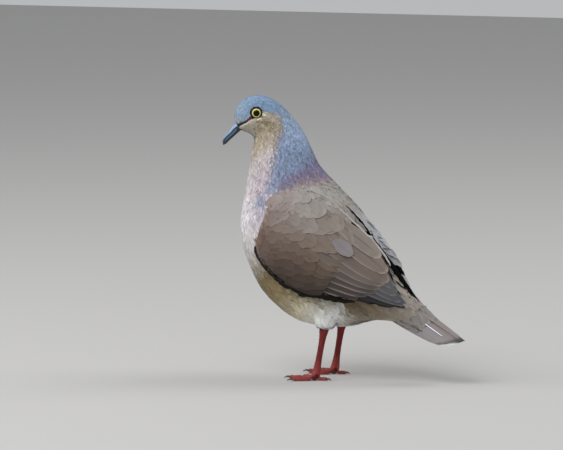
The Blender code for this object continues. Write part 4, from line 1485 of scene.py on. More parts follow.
class FoldedWing:
    """One folded wing: small coverts, coverts, scapulars and flight feathers over a near-black bed
    of painted shade.
    """

    NODES = ("coverts", "secondaries", "primaries")
    BED_DEPTH = 1.0
    FAR_BED_DEPTH = 0.7  # more on the far wing, which is seen along its edge
    # Painted shade: the bed is near black for the shade in the gaps between and under the feathers.
    BED_SHADE: Colour = (0.020, 0.016, 0.014)
    CELLS = 4  # the bake map of the long feathers is this many squares wide
    RIDGE_TIPS = (2.9, 3.25, 3.6, 3.95, 4.3, 4.65, 5.0, 5.35, 5.7, 6.0, 6.25)
    RIDGE_REACH = 1.25  # steps along the wing from root to tip

    def __init__(self, side: float, union: Form) -> None:
        """Wraps the solids of one wing."""
        self.side, self.union = side, union
        self.label = SIDE_NAMES[side]
        self.nodes = [f"wing_{self.label}_{name}" for name in self.NODES]
        self.form = Form(self.nodes, voxel=0.8, rounds=5)
        self.draw = np.random.default_rng(11 if side > 0.0 else 12)

    def _laid(
        self, form: Form, cut: VaneCut, root: Array, tip: Array, width: Array, bow: Array | float
    ) -> tuple[Array, Array]:
        """Spreads flat feathers over a form seen from the side.

        Args:
            form: The surface that they lie on.
            cut: Their outline.
            root: Where each begins, ahead and up.
            tip: Where each ends.
            width: How wide each is.
            bow: How far the middle of each bends upwards, as a share of its length.

        Returns:
            The grids of points on the surface, and the outward directions there.
        """
        along = cut.along
        run = tip - root
        length = np.linalg.norm(run, axis=1)
        way = run / length[:, None]
        upward = together(way[:, 1], -way[:, 0])
        bend = (bow * length)[:, None] * (4.0 * along * (1.0 - along))[None]
        line = root[:, None] + run[:, None] * along[None, :, None]
        line = line + upward[:, None] * bend[..., None]
        half = width[:, None] * 0.5 * cut.half_width[None]
        drop = Coat.tip_drop(cut, length, half[:, -1], self.draw)
        flat = line[:, :, None] + upward[:, None, None] * (half[:, :, None] * cut.across)[..., None]
        flat = flat - way[:, None, None] * drop[..., None]
        points, normals = form.from_side(flat, self.side)
        points[..., [0, 2]] = flat
        # Depths are evened out over each feather, so that it bends smoothly.
        for _ in range(4):
            points[..., 1] = smoothed(smoothed(points[..., 1]).swapaxes(1, 2)).swapaxes(1, 2)
        return points, unit(normals * 0.6 + normals.mean(axis=(1, 2), keepdims=True) * 0.4)

    def _spread(
        self, coat: Coat, cut: VaneCut, laid: tuple[Array, Array], layer: Array, sink: float,
        roll: float, tones: tuple[Array, Array, float], places: Array,
    ) -> None:
        """Lifts flat feathers to their layer, colours them and adds them to a coat.

        Args:
            coat: The coat.
            cut: Their outline.
            laid: Their points on the surface, and the outward directions there.
            layer: How high each stands at its tip.
            sink: How much deeper their roots lie.
            roll: How far their lower edges stand proud.
            tones: Each one's colour, that of its lower edge, and how dark the roots are.
            places: Where each is on the bake map.
        """
        along, across = cut.along, cut.across
        height = layer[:, None] - sink * (1.0 - along[None]) ** 2.2
        lift = (height[:, :, None] - roll * across[None, None])[..., None]
        grid = laid[0] + laid[1] * lift
        tone, edge, root = tones
        share = eased(-0.7, -1.0, across)[None, :] * eased(0.25, 0.5, along)[:, None]
        colours = tone[:, None, None] + (edge - tone)[:, None, None] * share[None, ..., None]
        colours = colours * (root + (1.0 - root) * eased(0.2, 0.9, along))[None, :, None, None]
        turned = slice(None, None, -1 if self.side < 0.0 else 1)  # so that both wings face outwards
        coat.add(cut, grid[:, :, turned], laid[1][:, :, turned], colours[:, :, turned], places)

    def _row(
        self, coat: Coat, cut: VaneCut, row: Row, form: Form, sink: float, roll: float
    ) -> None:
        """Adds one row of feathers."""
        draw, count = self.draw, row.count
        share = (np.arange(count) + draw.uniform(0.3, 0.7)) / count
        tips = through(np.array(row.tips), share * (len(row.tips) - 1.0))
        tips = tips + draw.normal(0.0, (0.035, 0.008), tips.shape)
        tip = WING_MAP.plane(tips)
        way = WING_MAP.lie(tips, row.slant)
        way = unit(way + together(way[:, 1], -way[:, 0]) * draw.normal(0.0, 0.05, (count, 1)))
        length = row.length * draw.uniform(0.9, 1.1, count)
        width = row.width * draw.uniform(0.9, 1.12, count)
        laid = self._laid(form, cut, tip - way * length[:, None], tip, width, 0.0)
        layer = row.layer + 0.05 * share + draw.normal(0.0, 0.03, count)
        tone = WING_MAP.colour(tips - np.array([0.15, 0.0])) * draw.normal(1.0, 0.05, (count, 1))
        if row.tone is not None:
            tone = np.broadcast_to(row.tone, tone.shape)
        places = np.clip(tips / np.array([WING_MAP.STEPS, 1.0]), 0.0, 1.0)
        self._spread(coat, cut, laid, layer, sink, roll, (tone, tone * 1.04, 0.86), places)

    def _bed(self) -> None:
        """The wing under its feathers, which stands for the wing's solids, painted near black as
        the shade between and under them.
        """
        form = self.form
        points = form.points - form.normals * self.BED_DEPTH
        if self.side < 0.0:
            points = points - form.normals * self.FAR_BED_DEPTH
        cover, outward = self.union.nearest(points)
        proud = ((points - cover) * outward).sum(axis=1) + self.BED_DEPTH + 0.4
        points = points - outward * np.clip(proud, 0.0, 2.5)[:, None]
        tone: Array | Colour = self.BED_SHADE
        # On the far wing the bed's upper rim towards the rear is painted pale, as skylight on the
        # edge.
        if self.side < 0.0:
            place = WING_MAP.place(points)
            rim = eased(0.80, 0.90, place[:, 1]) * eased(4.6, 5.2, place[:, 0])
            tone = blended(tone, Markings.FAR_WING_SKYLIT, 0.85 * rim * eased(7.3, 6.9, place[:, 0]))
        made = mesh_from(f"wing_{self.label}_bed", points, form.quads, tone)
        fitted(made, "wing_plumage", (FEATHERED_SKIN,), *self.nodes)

    def _quills(self) -> None:
        """The flight feathers."""
        name = f"wing_{self.label}_flight"
        coat = Coat(name, "flight_feather", FLIGHT_FEATHER, 0.5, Coat.LONG_PATCH)
        root, tip, width, bow, layer, tone, edge = (
            np.array([getattr(quill, key) for quill in QUILLS])
            for key in ("root", "tip", "width", "bow", "layer", "tone", "edge")
        )
        root, tip = WING_MAP.plane(root), WING_MAP.plane(tip)
        if self.side < 0.0:  # this wing is let down a little further at its tip
            far = eased(WING_MAP.plane(np.array([[6.2, 0.5]]))[0, 0], tip[:, 0].min(), tip[:, 0])
            tip = tip + np.array([1.0, -4.0]) * far[:, None]
        laid = self._laid(self.form, QUILL_CUT, root, tip, width, bow)
        order = np.arange(len(QUILLS))
        places = (together(order % self.CELLS, order // self.CELLS) + 0.5) / self.CELLS
        self._spread(coat, QUILL_CUT, laid, layer, 0.3, 0.12, (tone, edge, 0.9), places)
        coat.finished()

    def _ridge(self, coat: Coat) -> None:
        """Narrow feathers that fold over the wing's upper edge, painted pale towards the rear as
        skylight.
        """
        tips = np.array(self.RIDGE_TIPS)
        place = tips[:, None] - self.RIDGE_REACH * (1.0 - RIDGE_CUT.along[None])
        edge, _ = self.form.from_side(WING_MAP.plane(together(place, 0.93)), self.side)
        upper = WING_MAP.plane(together(place, 1.0))
        above = together(upper[..., 0], edge[..., 1] - 1.2 * self.side, upper[..., 1] + 1.0)
        middle, normals = self.form.nearest(above)
        outward = normals.mean(axis=1, keepdims=True) + normals
        outward = outward + np.array([0.0, 0.4 * self.side, 0.6])
        rise = 0.40 - 0.7 * (1.0 - RIDGE_CUT.along[None]) ** 2
        lie = Lie(middle, unit(outward), np.full(len(tips), 1.8), rise)
        tone = blended(WING_MAP.colour(together(place, 0.98)), SKYLIT_EDGE, eased(2.6, 4.5, place))
        places = together(tips / WING_MAP.STEPS, 0.99)
        coat.lay(RIDGE_CUT, lie, tone[:, :, None], places, self.draw)

    def build(self) -> None:
        """Makes the wing."""
        small = Coat(f"wing_{self.label}_small_coverts", "wing_plumage", COVERT_FEATHER, 0.8)
        # The near-black row under the wing's lower edge is painted shade.
        self._row(small, SMALL_ROW_CUT, SHADE_UNDER_WING_EDGE, self.union, sink=0.35, roll=0.0)
        for index, place in enumerate(LESSER_PLACES):
            top = 0.86 - 0.30 * float(eased(1.0, 1.7, np.array(place)))
            tips = ((place + 0.16, 0.035), (place + 0.02, 0.5 * top), (place + 0.06, top))
            grow = index / (len(LESSER_PLACES) - 1.0)
            width = 6.0 + 3.4 * grow
            count = round((62.0 * top - 1.0) / (0.62 * width))
            row = Row(tips, count, 8.5 + 7.0 * grow, width, 0.12 - 0.04 * grow, 6.0 * grow)
            self._row(small, SMALL_ROW_CUT, row, self.union, sink=0.40, roll=0.07)
        large = Coat(f"wing_{self.label}_large_coverts", "wing_plumage", COVERT_FEATHER, 0.7)
        for row in GREATER_ROWS:
            self._row(large, ROW_CUT, row, self.form, sink=0.5, roll=0.10)
        shoulder = Coat(f"wing_{self.label}_scapulars", "wing_plumage", COVERT_FEATHER, 0.75)
        for row in (*SCAPULAR_ROWS, LILAC_FEATHER):
            self._row(shoulder, ROW_CUT, row, self.union, sink=0.55, roll=0.10)
        self._ridge(shoulder)
        self._bed()
        self._quills()
        for coat in (large, small, shoulder):
            coat.finished()


# ---- the coat of head, neck and body


@dataclass(frozen=True)
class Tract:
    """A part of the coat whose feathers are alike."""

    name: str
    slot: str
    finish: FeatherFinish
    cut: VaneCut
    first_arc: float = 0.0
    last_arc: float = 0.0
    bearings: tuple[float, float] = (0.0, 181.0)  # how far round from the back
    calm: float = 0.85  # how far its shading follows the coat as a whole
    sway: float = 6.0  # degrees that its feathers stray from the lie
    lift: float = 0.0  # how high its tips stand
    climb: float = 0.35  # how much higher they stand on the wings
    sampled: tuple[int, int] = (1, -1)  # the rows whose middle gives each feather's colour
    winged: bool = True  # whether its feathers take the wing's colours over the wing


TINY_CUT = VaneCut(3, 2, 0.45, 0.35, 0.55, 0.8, 0.08, 0.04, 0.05)
SMALL_CUT = VaneCut(4, 3, 0.40, 0.40, 0.55, 0.9, 0.10, 0.04, 0.06)
CONTOUR_CUT = VaneCut(5, 4, 0.35, 0.50, 0.6, 1.0, 0.08, 0.04, 0.08)
TRACTS = (
    Tract("head_coat", "head_plumage", SMALL_FEATHER, TINY_CUT, 180.0, 230.0),
    Tract("neck_coat", "neck_plumage", SMALL_FEATHER, SMALL_CUT, 138.0, 180.0),
    Tract("back_coat", "body_plumage", SOFT_FEATHER, CONTOUR_CUT, -20.0, 138.0, (0.0, 108.0)),
    Tract("belly_coat", "body_plumage", SOFT_FEATHER, CONTOUR_CUT, -20.0, 86.0, (108.0, 181.0)),
    Tract("breast_coat", "body_plumage", SOFT_FEATHER, CONTOUR_CUT, 86.0, 138.0, (108.0, 181.0)),
)
FRINGE_CUT = VaneCut(5, 2, 0.5, 0.12, 0.35, 1.0, 0.10, 0.04, 0.05)
FRINGE = Tract(
    "breast_fringe", "body_plumage", SOFT_FEATHER, FRINGE_CUT,
    calm=0.7, sway=16.0, lift=0.12, sampled=(0, 0), winged=False,
)
MANTLE = Tract("mantle_coat", "wing_plumage", SOFT_FEATHER, CONTOUR_CUT, climb=0.0)
PARTING_CUT = VaneCut(8, 4, 0.55, 0.5, 0.6, 1.0, 0.03, 0.04, 0.1)
GROOVE_DEPTH = 1.4


class BodyCoat:
    """Feathers scattered over head, neck, trunk and thighs, each following the lie."""

    SPACING_ARC = (0.0, 30.0, 90.0, 125.0, 150.0, 175.0, 192.0, 218.0)
    SPACING = (1.75, 1.80, 1.70, 1.42, 1.14, 0.92, 0.66, 0.52)
    LENGTH = (10.0, 10.5, 9.5, 7.8, 6.2, 4.8, 3.2, 2.1)
    WIDTH = (4.0, 4.2, 3.9, 3.2, 2.5, 1.95, 1.35, 1.02)
    DEPTH = (0.8, 1.0, 1.1, 1.0, 0.75, 0.55, 0.38, 0.25)
    CANDIDATES = 170000
    BACK_GROWTH = 1.25  # how much larger the feathers of the back are than those beneath

    FRINGE_COUNT = 64  # on each side
    CELL = 2.0  # the size of the boxes that roots are sorted into
    ON_WING = 0.8  # places farther than this from the body's own surface are on a wing
    PARTING_TIPS = (78.0, 3.0, 36)  # the first tip's arc, the last one's, and how many
    PARTING_LENGTH = 12.0

    def __init__(self, body: Form, union: Form, spine: Spine, markings: Markings) -> None:
        """Keeps the forms that the feathers follow."""
        self.body, self.union, self.spine, self.markings = body, union, spine, markings
        self.draw = np.random.default_rng(7)

    def _spacing(self, points: Array) -> Array:
        """How far apart roots stand at places."""
        arc, bearing, _ = self.spine.locate(points)
        space = np.interp(arc, self.SPACING_ARC, self.SPACING)
        back = 1.0 + (self.BACK_GROWTH - 1.0) * eased(90.0, 50.0, np.abs(bearing)) * (arc < 140.0)
        thigh = eased(52.0, 44.0, points[:, 2]) * eased(8.0, 12.0, np.abs(points[:, 1]))
        parting = self.markings.groove(points, 2.5)
        return space * back * (1.0 - 0.45 * thigh) * (1.0 - 0.5 * parting)

    def _roots(self) -> tuple[Array, Array, Array]:
        """Picks roots at random over body and wings, none nearer to another than the spacing.

        Returns:
            The roots, the spacing at each, and whether each stands on a wing.
        """
        corners = self.union.points[self.union.quads]
        first, second = corners[:, 2] - corners[:, 0], corners[:, 3] - corners[:, 1]
        area = 0.5 * np.linalg.norm(np.cross(first, second), axis=1)
        weight = area / self._spacing(corners.mean(axis=1)) ** 2
        picked = self.draw.choice(len(corners), self.CANDIDATES, p=weight / weight.sum())
        u, v = self.draw.random((2, len(picked), 1))
        some = corners[picked]
        near = some[:, 0] * (1 - u) + some[:, 1] * u
        far = some[:, 3] * (1 - u) + some[:, 2] * u
        places = near * (1 - v) + far * v
        below, _ = self.body.nearest(places)
        on_wing = np.linalg.norm(below - places, axis=1) > self.ON_WING
        seen = WING_MAP.place(places)
        bare_wing = (seen[:, 0] > 0.95) & ((seen[:, 1] < 0.84) | (seen[:, 0] > 3.6))
        keep = ~(on_wing & bare_wing) & ~self.markings.bare(places)
        keep &= (places[:, 2] > LEG_SKIN_TOP + 0.1) & (self.markings.groove(places, 0.8) < 0.5)
        places, seen, on_wing = places[keep], seen[keep], on_wing[keep]
        wider = 1.55 + 0.65 * np.clip(seen[:, 0] - 0.2, 0.0, 1.4)
        space = np.where(on_wing, wider, self._spacing(places))
        kept = self._thinned(places, space)
        return places[kept], space[kept], on_wing[kept]

    def _thinned(self, places: Array, space: Array) -> list[int]:
        """Keeps each place that is far enough from those kept before it."""
        boxes: dict[tuple[int, ...], list[list[float]]] = {}
        keys = np.floor(places / self.CELL).astype(int).tolist()
        kept: list[int] = []
        for index, (key, place, gap) in enumerate(zip(keys, places.tolist(), space.tolist())):
            span = math.ceil(gap / self.CELL)
            nearby = product(*(range(number - span, number + span + 1) for number in key))
            others = (other for box in nearby for other in boxes.get(box, ()))
            if all(math.dist(place, other) >= gap for other in others):
                kept.append(index)
                boxes.setdefault(tuple(key), []).append(place)
        return kept

    def _heading(self, points: Array, normals: Array, sway: Array) -> Array:
        """The lie of the feathers: towards the tail, down the thighs, swaying a little."""
        _, bearing, tailward = self.spine.locate(points)
        way = tailward.copy()
        thigh = eased(58.0, 46.0, points[:, 2]) * eased(6.0, 11.0, np.abs(points[:, 1]))
        thigh = thigh * eased(-30.0, -15.0, points[:, 0]) * eased(30.0, 20.0, points[:, 0])
        way += thigh[:, None] * np.array([-0.3, 0.0, -2.2])
        flank = hump(100.0, 45.0, np.abs(bearing)) * eased(150.0, 110.0, points[:, 2])
        way[:, 2] -= 0.25 * flank
        way -= normals * (way * normals).sum(axis=1, keepdims=True)
        way = unit(way)
        across = np.cross(normals, way)
        return unit(way * np.cos(sway)[:, None] + across * np.sin(sway)[:, None])

    def _middle_lines(
        self, form: Form, roots: Array, length: Array, rows: int, sway: Array
    ) -> tuple[Array, Array]:
        """Walks each feather's middle line over a form from its root."""
        point, normal = form.nearest(roots)
        points, normals = [point], [normal]
        for _ in range(rows):
            way = self._heading(point, normal, sway)
            point, normal = form.nearest(point + way * (length / rows)[:, None])
            points.append(point)
            normals.append(normal)
        return np.stack(points, axis=1), unit(smoothed(np.stack(normals, axis=1)))

    def build(self) -> None:
        """Makes the coat, one piece for each tract."""
        roots, space, on_wing = self._roots()
        log.info("body coat: %d roots", len(roots))
        arc, bearing, _ = self.spine.locate(roots)
        round_ = np.abs(bearing)
        for tract in TRACTS:
            mine = ~on_wing & (arc >= tract.first_arc) & (arc < tract.last_arc)
            mine &= (round_ >= tract.bearings[0]) & (round_ < tract.bearings[1])
            self._tract(tract, roots[mine], space[mine], arc[mine])
        size = space[on_wing]
        self._feathers(MANTLE, roots[on_wing], size * 4.2, size * 2.5, np.full_like(size, 0.5))
        edge = self._fringe_roots()
        size = self.draw.uniform(0.8, 1.25, len(edge))
        self._feathers(FRINGE, edge, 7.5 * size, 1.9 * size, np.full_like(size, 0.3))
        self._parting_shade_feathers()

    def _parting_shade_feathers(self) -> None:
        """Near-black feathers down the gap between the folded wings, painted as the shadow there.
        """
        tips = np.linspace(*self.PARTING_TIPS)
        back = 1.0 - PARTING_CUT.along[None]
        arc = tips[:, None] + self.PARTING_LENGTH * back
        at = np.searchsorted(self.spine.arc, arc).clip(1, len(self.spine.arc) - 1)
        middle = self.spine.middle[at] + self.spine.back[at] * 14.0
        for _ in range(3):
            middle[..., 1] = self.markings.parting(arc)
            middle, outward = self.union.nearest(middle)
        outward = unit(self.spine.back[at] + 0.4 * outward)
        half = np.interp(tips, (3.0, 12.0, 30.0, 50.0, 66.0, 78.0), (1.2, 3.2, 4.6, 3.6, 2.0, 0.6))
        lie = Lie(middle, outward, 2.0 * half, 0.85 - 0.8 * back**2)
        coat = Coat("parting_shade_feathers", "body_plumage", SHADOW_FEATHER, 0.8)
        places = together(tips / BODY_LENGTH, 0.5)
        coat.lay(PARTING_CUT, lie, np.array(self.markings.PAINTED_GAP_SHADOW), places, self.draw)
        coat.finished()

    def _fringe_roots(self) -> Array:
        """Roots of the loose breast feathers that hang over the front edges of the wings."""
        roots = []
        for side in SIDES:
            up = np.linspace(0.06, 0.93, self.FRINGE_COUNT)
            up = up + self.draw.normal(0.0, 0.01, self.FRINGE_COUNT)
            ahead = np.interp(up, (0.0, 0.3, 0.7, 1.0), (7.0, 8.0, 6.5, 3.0))
            ahead = ahead + self.draw.normal(0.0, 0.5, self.FRINGE_COUNT)
            flat = WING_MAP.plane(together(0.0, up)) + together(ahead, 2.0)
            roots.append(self.union.from_side(flat, side)[0])
        return np.concatenate(roots)

    def _tract(self, tract: Tract, roots: Array, space: Array, arc: Array) -> None:
        """Lays one tract's feathers, sized by how far apart they stand."""
        usual, length, width, depth = (
            np.interp(arc, self.SPACING_ARC, table)
            for table in (self.SPACING, self.LENGTH, self.WIDTH, self.DEPTH)
        )
        depth = np.minimum(depth, np.interp(roots[:, 2], (37.0, 46.0, 60.0), (0.5, 1.0, 3.0)))
        growth = space / usual
        self._feathers(tract, roots, length * growth, width * growth, depth)

    def _feathers(
        self, tract: Tract, roots: Array, length: Array, width: Array, depth: Array
    ) -> None:
        """Lays feathers of given sizes, each from its root along the lie.

        Args:
            tract: Their kind.
            roots: Where they stand.
            length: How long each is.
            width: How wide each is.
            depth: How far each one's root lies beneath the surface.
        """
        number, cut = len(roots), tract.cut
        length = length * self.draw.uniform(0.88, 1.12, number)
        sway = np.radians(self.draw.normal(0.0, tract.sway, number))
        middle, outward = self._middle_lines(self.union, roots, length, cut.rows, sway)
        over, _ = self.body.nearest(middle[:, -1])
        climbed = np.linalg.norm(over - middle[:, -1], axis=1)
        arc, bearing, _ = self.spine.locate(roots)
        tip = self.draw.normal(0.0, 0.03, number) + tract.lift
        tip = tip + 2.0 * hump(54.0, 22.0, arc) * eased(120.0, 155.0, np.abs(bearing))
        tip = tip + tract.climb * eased(0.3, 1.5, climbed)
        rise = tip[:, None] - (tip + depth)[:, None] * (1.0 - cut.along[None]) ** 2.0
        rise = rise - GROOVE_DEPTH * self.markings.groove(middle, -1.6)
        lie = Lie(middle, outward, width, rise, self.draw.normal(0.0, 0.02, number))
        colours = self._colours(middle, tract)
        places = together(arc / BODY_LENGTH, (bearing + 180.0) / 360.0)
        coat = Coat(tract.name, tract.slot, tract.finish, tract.calm)
        coat.lay(cut, lie, colours, places, self.draw)
        coat.finished()

    def _colours(self, middle: Array, tract: Tract) -> Array:
        """Each feather's colours, from the markings near where its middle line runs."""
        number = len(middle)
        at = middle[:, list(tract.sampled)].mean(axis=1)
        arc, bearing, _ = self.spine.locate(at)
        loose = np.interp(arc, (120.0, 150.0, 180.0, 200.0), (1.6, 1.8, 1.3, 0.8))
        rear = 0.05 + 0.95 * eased(49.0, 42.0, head_place(at)[:, 0])
        loose = loose * np.where(arc > 180.0, rear, 1.0)
        own = self.markings.colour(at + self.draw.normal(0.0, 1.0, at.shape) * loose[:, None])
        if tract.winged:
            place = WING_MAP.place(at)
            along, up = place[:, 0], place[:, 1]
            ragged = self.draw.normal(0.0, 0.05, number)
            front = np.interp(up, (0.0, 0.3, 0.7, 1.0), (-0.42, -0.40, -0.22, -0.06))
            share = eased(0.0, 0.07, along - front + ragged) * eased(3.9, 3.2, along)
            share = share * eased(-0.03, 0.0, up) * eased(1.27, 1.12, up)
            share = share * eased(150.0, 120.0, np.abs(bearing)) * eased(146.0, 138.0, arc)
            own = blended(own, WING_MAP.colour(place), share)
        varied = np.interp(arc, (100.0, 140.0, 185.0, 205.0), (0.07, 0.13, 0.17, 0.13))
        own = own * np.clip(1.0 + varied * self.draw.normal(0.0, 1.0, number), 0.6, 1.5)[:, None]
        root = np.interp(arc, (100.0, 150.0), (0.80, 0.66))[:, None]
        tone = root + (1.04 - root) * tract.cut.along[None]
        return own[:, None, None] * tone[:, :, None, None]


# ---- tail


@dataclass(frozen=True)
class TailFeather:
    """One tail feather: its place across the tail and its layer beneath the middle pair."""

    across: float
    half: float  # half its width, as a share of half the tail's
    layer: float
    length: float = 1.0


@dataclass(frozen=True)
class TailStreak:
    """A narrow bare edge or shaft that shows down the tail's side."""

    start: float
    end: float
    across: tuple[float, float]  # at its start and its end
    depth: float
    half: float
    tone: Colour


class Tail:
    """The folded tail: twelve feathers in an arch, the middle pair on top."""

    RIDGE = ((-62.0, 0.0, 59.2), (-102.7, 0.0, 30.2))
    EDGE = ((-53.0, 9.9, 44.3), (-97.2, 15.0, 25.6))
    ARCH = math.radians(68.0)
    END_SHORTER = 0.13
    FEATHERS = (
        TailFeather(0.90, 0.19, 2.0, 0.97), TailFeather(0.74, 0.21, 1.65, 0.985),
        TailFeather(0.58, 0.23, 1.3, 0.99), TailFeather(0.42, 0.25, 0.95, 0.995),
        TailFeather(0.27, 0.26, 0.6, 0.995), TailFeather(0.11, 0.27, 0.12, 1.0),
    )
    CUT = VaneCut(18, 8, 0.7, 0.72, 0.8, 1.0, 0.004, 0.0, 0.3)
    # The second streak's blue-white is a pale shaft with a painted glint on it.
    STREAKS = (
        TailStreak(0.40, 0.93, (0.40, 0.24), 0.12, 0.014, (0.045, 0.036, 0.032)),
        TailStreak(0.30, 0.78, (0.60, 0.61), 0.48, 0.020, (0.72, 0.76, 0.84)),
    )
    UPPER_TONE: Colour = (0.25, 0.215, 0.205)
    SIDE_TONE: Colour = (0.255, 0.23, 0.235)
    BAND: Colour = (0.025, 0.024, 0.026)
    TIP: Colour = (0.66, 0.65, 0.62)

    def __init__(self) -> None:
        """Starts with its own dice."""
        self.draw = np.random.default_rng(21)

    def place(self, along: Array, across: Array, depth: Array) -> tuple[Array, Array]:
        """A spot of the tail's arch, and its outward direction."""
        share = (along * (1.0 - self.END_SHORTER * across * across))[..., None]
        ridge = np.array(self.RIDGE[0]) + (np.array(self.RIDGE[1]) - self.RIDGE[0]) * share
        edge = np.array(self.EDGE[0]) + (np.array(self.EDGE[1]) - self.EDGE[0]) * share
        angle = self.ARCH * across
        fall = (1.0 - np.cos(angle)) / (1.0 - math.cos(self.ARCH))
        point = ridge + (edge - ridge) * fall[..., None]
        point[..., 1] = edge[..., 1] * np.sin(angle) / math.sin(self.ARCH)
        outward = np.stack([np.zeros_like(angle), np.sin(angle), np.cos(angle)], axis=-1)
        point = point - outward * depth[..., None] + np.array([FORWARD, 0.0, 0.0])
        return point, unit(outward + np.array([0.45, 0.0, 0.0]))

    def _colours(self, along: Array, feather: TailFeather) -> Array:
        """A feather's colours down its length: brown, then a dark band and a white tip."""
        outer = eased(0.2, 0.6, np.array(feather.across))
        base = blended(self.UPPER_TONE, self.SIDE_TONE, outer)
        tone = blended(base, self.BAND, eased(0.90, 0.955, along))
        tone = blended(tone, self.TIP, eased(0.972, 0.985, along) * outer)
        return tone * (0.82 + 0.18 * eased(0.0, 0.4, along))[..., None]

    def _add(
        self, coat: Coat, reach: Array, line: Array | float, half: float, depth: Array | float,
        tints: Array,
    ) -> None:
        """Adds one feather to the coat.

        Args:
            coat: The coat.
            reach: How far down the tail each point lies.
            line: How far across the tail its middle line lies.
            half: Half its width, as a share of half the tail's.
            depth: How deep each point lies.
            tints: Its colours.
        """
        number = len(coat.arrays["points"])
        spread = self.CUT.half_width[:, None] * half * self.CUT.across[None]
        points, outward = self.place(reach, line + spread, np.broadcast_to(depth, reach.shape))
        cell = (np.array([[number % 4, number // 4]]) + 0.5) / 4.0
        tints = np.broadcast_to(tints, points.shape)
        # Across runs from right to left, so the grid is turned to face outwards.
        turned = (values[None, :, ::-1] for values in (points, outward, tints))
        coat.add(self.CUT, *turned, cell)

    def build(self) -> None:
        """Makes the tail feathers."""
        along, across = self.CUT.along[:, None], self.CUT.across[None]
        coat = Coat("tail_feathers", "tail_feather", TAIL_FEATHER, 0.4, Coat.LONG_PATCH)
        for feather, side in product(self.FEATHERS, SIDES):
            drop = 0.055 * self.CUT.tip_arc[None] * eased(0.6, 1.0, along)
            drop = drop + 0.004 * self.draw.random(across.shape) * along
            # The upper feather of two overlaps the lower one's inner edge.
            depth = feather.layer + 0.22 * across * side
            if side < 0.0 and feather.across < 0.2:
                depth = depth + 0.1
            reach = along * feather.length - drop
            tints = self._colours(along - drop, feather)
            self._add(coat, reach, feather.across * side, feather.half, depth, tints)
        for streak, side in product(self.STREAKS, SIDES):
            reach = np.broadcast_to(streak.start + (streak.end - streak.start) * along, drop.shape)
            line = streak.across[0] + (streak.across[1] - streak.across[0]) * along
            self._add(coat, reach, line * side, streak.half, streak.depth, np.array(streak.tone))
        coat.finished("tail_centre", "tail_left", "tail_right")


COVERING_CUT = VaneCut(10, 4, 0.45, 0.45, 0.5, 1.0, 0.06, 0.02, 0.07)


@dataclass(frozen=True)
class CoveringRow:
    """A row of the feathers that run from the rump or the vent on to the tail."""

    arc: float  # where its roots are
    reach: float  # how far down the tail its tips are, as a share of its length
    first: float  # bearings from the back, in degrees
    last: float
    count: int
    width: float
    layer: float  # how high the tips lie over the tail
    tone: Colour


class TailCoverts:
    """The feathers over and under the tail's root, which carry the body's outline into it."""

    ROWS = (
        CoveringRow(2.0, 0.60, 122.0, 176.0, 6, 5.0, 0.1, (0.40, 0.36, 0.31)),
        CoveringRow(6.0, 0.50, 118.0, 176.0, 7, 5.0, 0.3, (0.40, 0.36, 0.30)),
        CoveringRow(11.0, 0.41, 116.0, 176.0, 8, 5.0, 0.5, (0.36, 0.32, 0.26)),
        CoveringRow(1.0, 0.50, 4.0, 99.0, 9, 4.6, 0.10, (0.265, 0.235, 0.225)),
        CoveringRow(4.5, 0.41, 0.0, 101.0, 10, 4.6, 0.22, (0.28, 0.25, 0.232)),
        CoveringRow(8.5, 0.33, 4.0, 103.0, 11, 4.4, 0.34, (0.295, 0.262, 0.238)),
        CoveringRow(13.0, 0.26, 0.0, 103.0, 11, 4.2, 0.45, (0.31, 0.272, 0.24)),
    )

    def __init__(self, union: Form, spine: Spine, tail: "Tail") -> None:
        """Keeps what the feathers run over."""
        self.union, self.spine, self.tail = union, spine, tail
        self.draw = np.random.default_rng(33)

    def _row(self, coat: Coat, row: CoveringRow, side: float) -> None:
        """Lays one row on one side of the tail."""
        number = row.count
        bearing = np.linspace(row.first, row.last, number) + self.draw.normal(0.0, 2.0, number)
        at = np.searchsorted(self.spine.arc, row.arc + self.draw.normal(0.0, 0.8, number)).clip(1)
        angle = np.radians(bearing)[:, None]
        out = self.spine.back[at] * np.cos(angle) + self.spine.side[at] * np.sin(angle) * side
        root, normal = self.union.nearest(self.spine.middle[at] + out * 12.0)
        below = bearing > 110.0
        over = np.clip(bearing / 104.0, 0.0, 0.97)
        across = np.where(below, np.clip((184.0 - bearing) / 84.0, 0.05, 0.9), over)
        step = np.interp(across, (0.11, 0.9), (0.12, 2.0))  # the outer feathers lie deeper
        depth = np.where(below, 3.4 + row.layer, step - 0.30 - 0.6 * row.layer)
        reach = row.reach + self.draw.normal(0.0, 0.015, number)
        tip, outward = self.tail.place(reach, across * side, depth)
        before, _ = self.tail.place(reach - 0.12, across * side, depth)
        outward = np.where(below[:, None], -outward, outward)
        length = np.linalg.norm(tip - root, axis=1)[:, None]
        start, end = self.spine.tailward[at] * length, unit(tip - before) * length
        share = COVERING_CUT.along[None]
        along = share[..., None]
        middle = root[:, None] * (2.0 * along**3 - 3.0 * along**2 + 1.0)
        middle = middle + start[:, None] * (along**3 - 2.0 * along**2 + along)
        middle = middle + tip[:, None] * (3.0 * along**2 - 2.0 * along**3)
        middle = middle + end[:, None] * (along**3 - along**2)
        facing = unit(normal[:, None] * (1.0 - along) + outward[:, None] * along)
        width = row.width * self.draw.uniform(0.9, 1.1, number)
        lie = Lie(middle, facing, width, 0.06 - 0.9 * (1.0 - share) ** 3)
        tone = np.array(row.tone) * self.draw.normal(1.0, 0.06, (number, 1))
        colours = tone[:, None, None] * (0.86 + 0.16 * share)[..., None, None]
        places = together(row.arc / BODY_LENGTH, 0.5 + side * bearing / 360.0)
        coat.lay(COVERING_CUT, lie, colours, places, self.draw)

    def build(self) -> None:
        """Makes them."""
        coat = Coat("tail_coverts", "body_plumage", SOFT_FEATHER, 0.8)
        for row, side in product(self.ROWS, SIDES):
            self._row(coat, row, side)
        coat.finished()


# ---- bill, eyes and claws


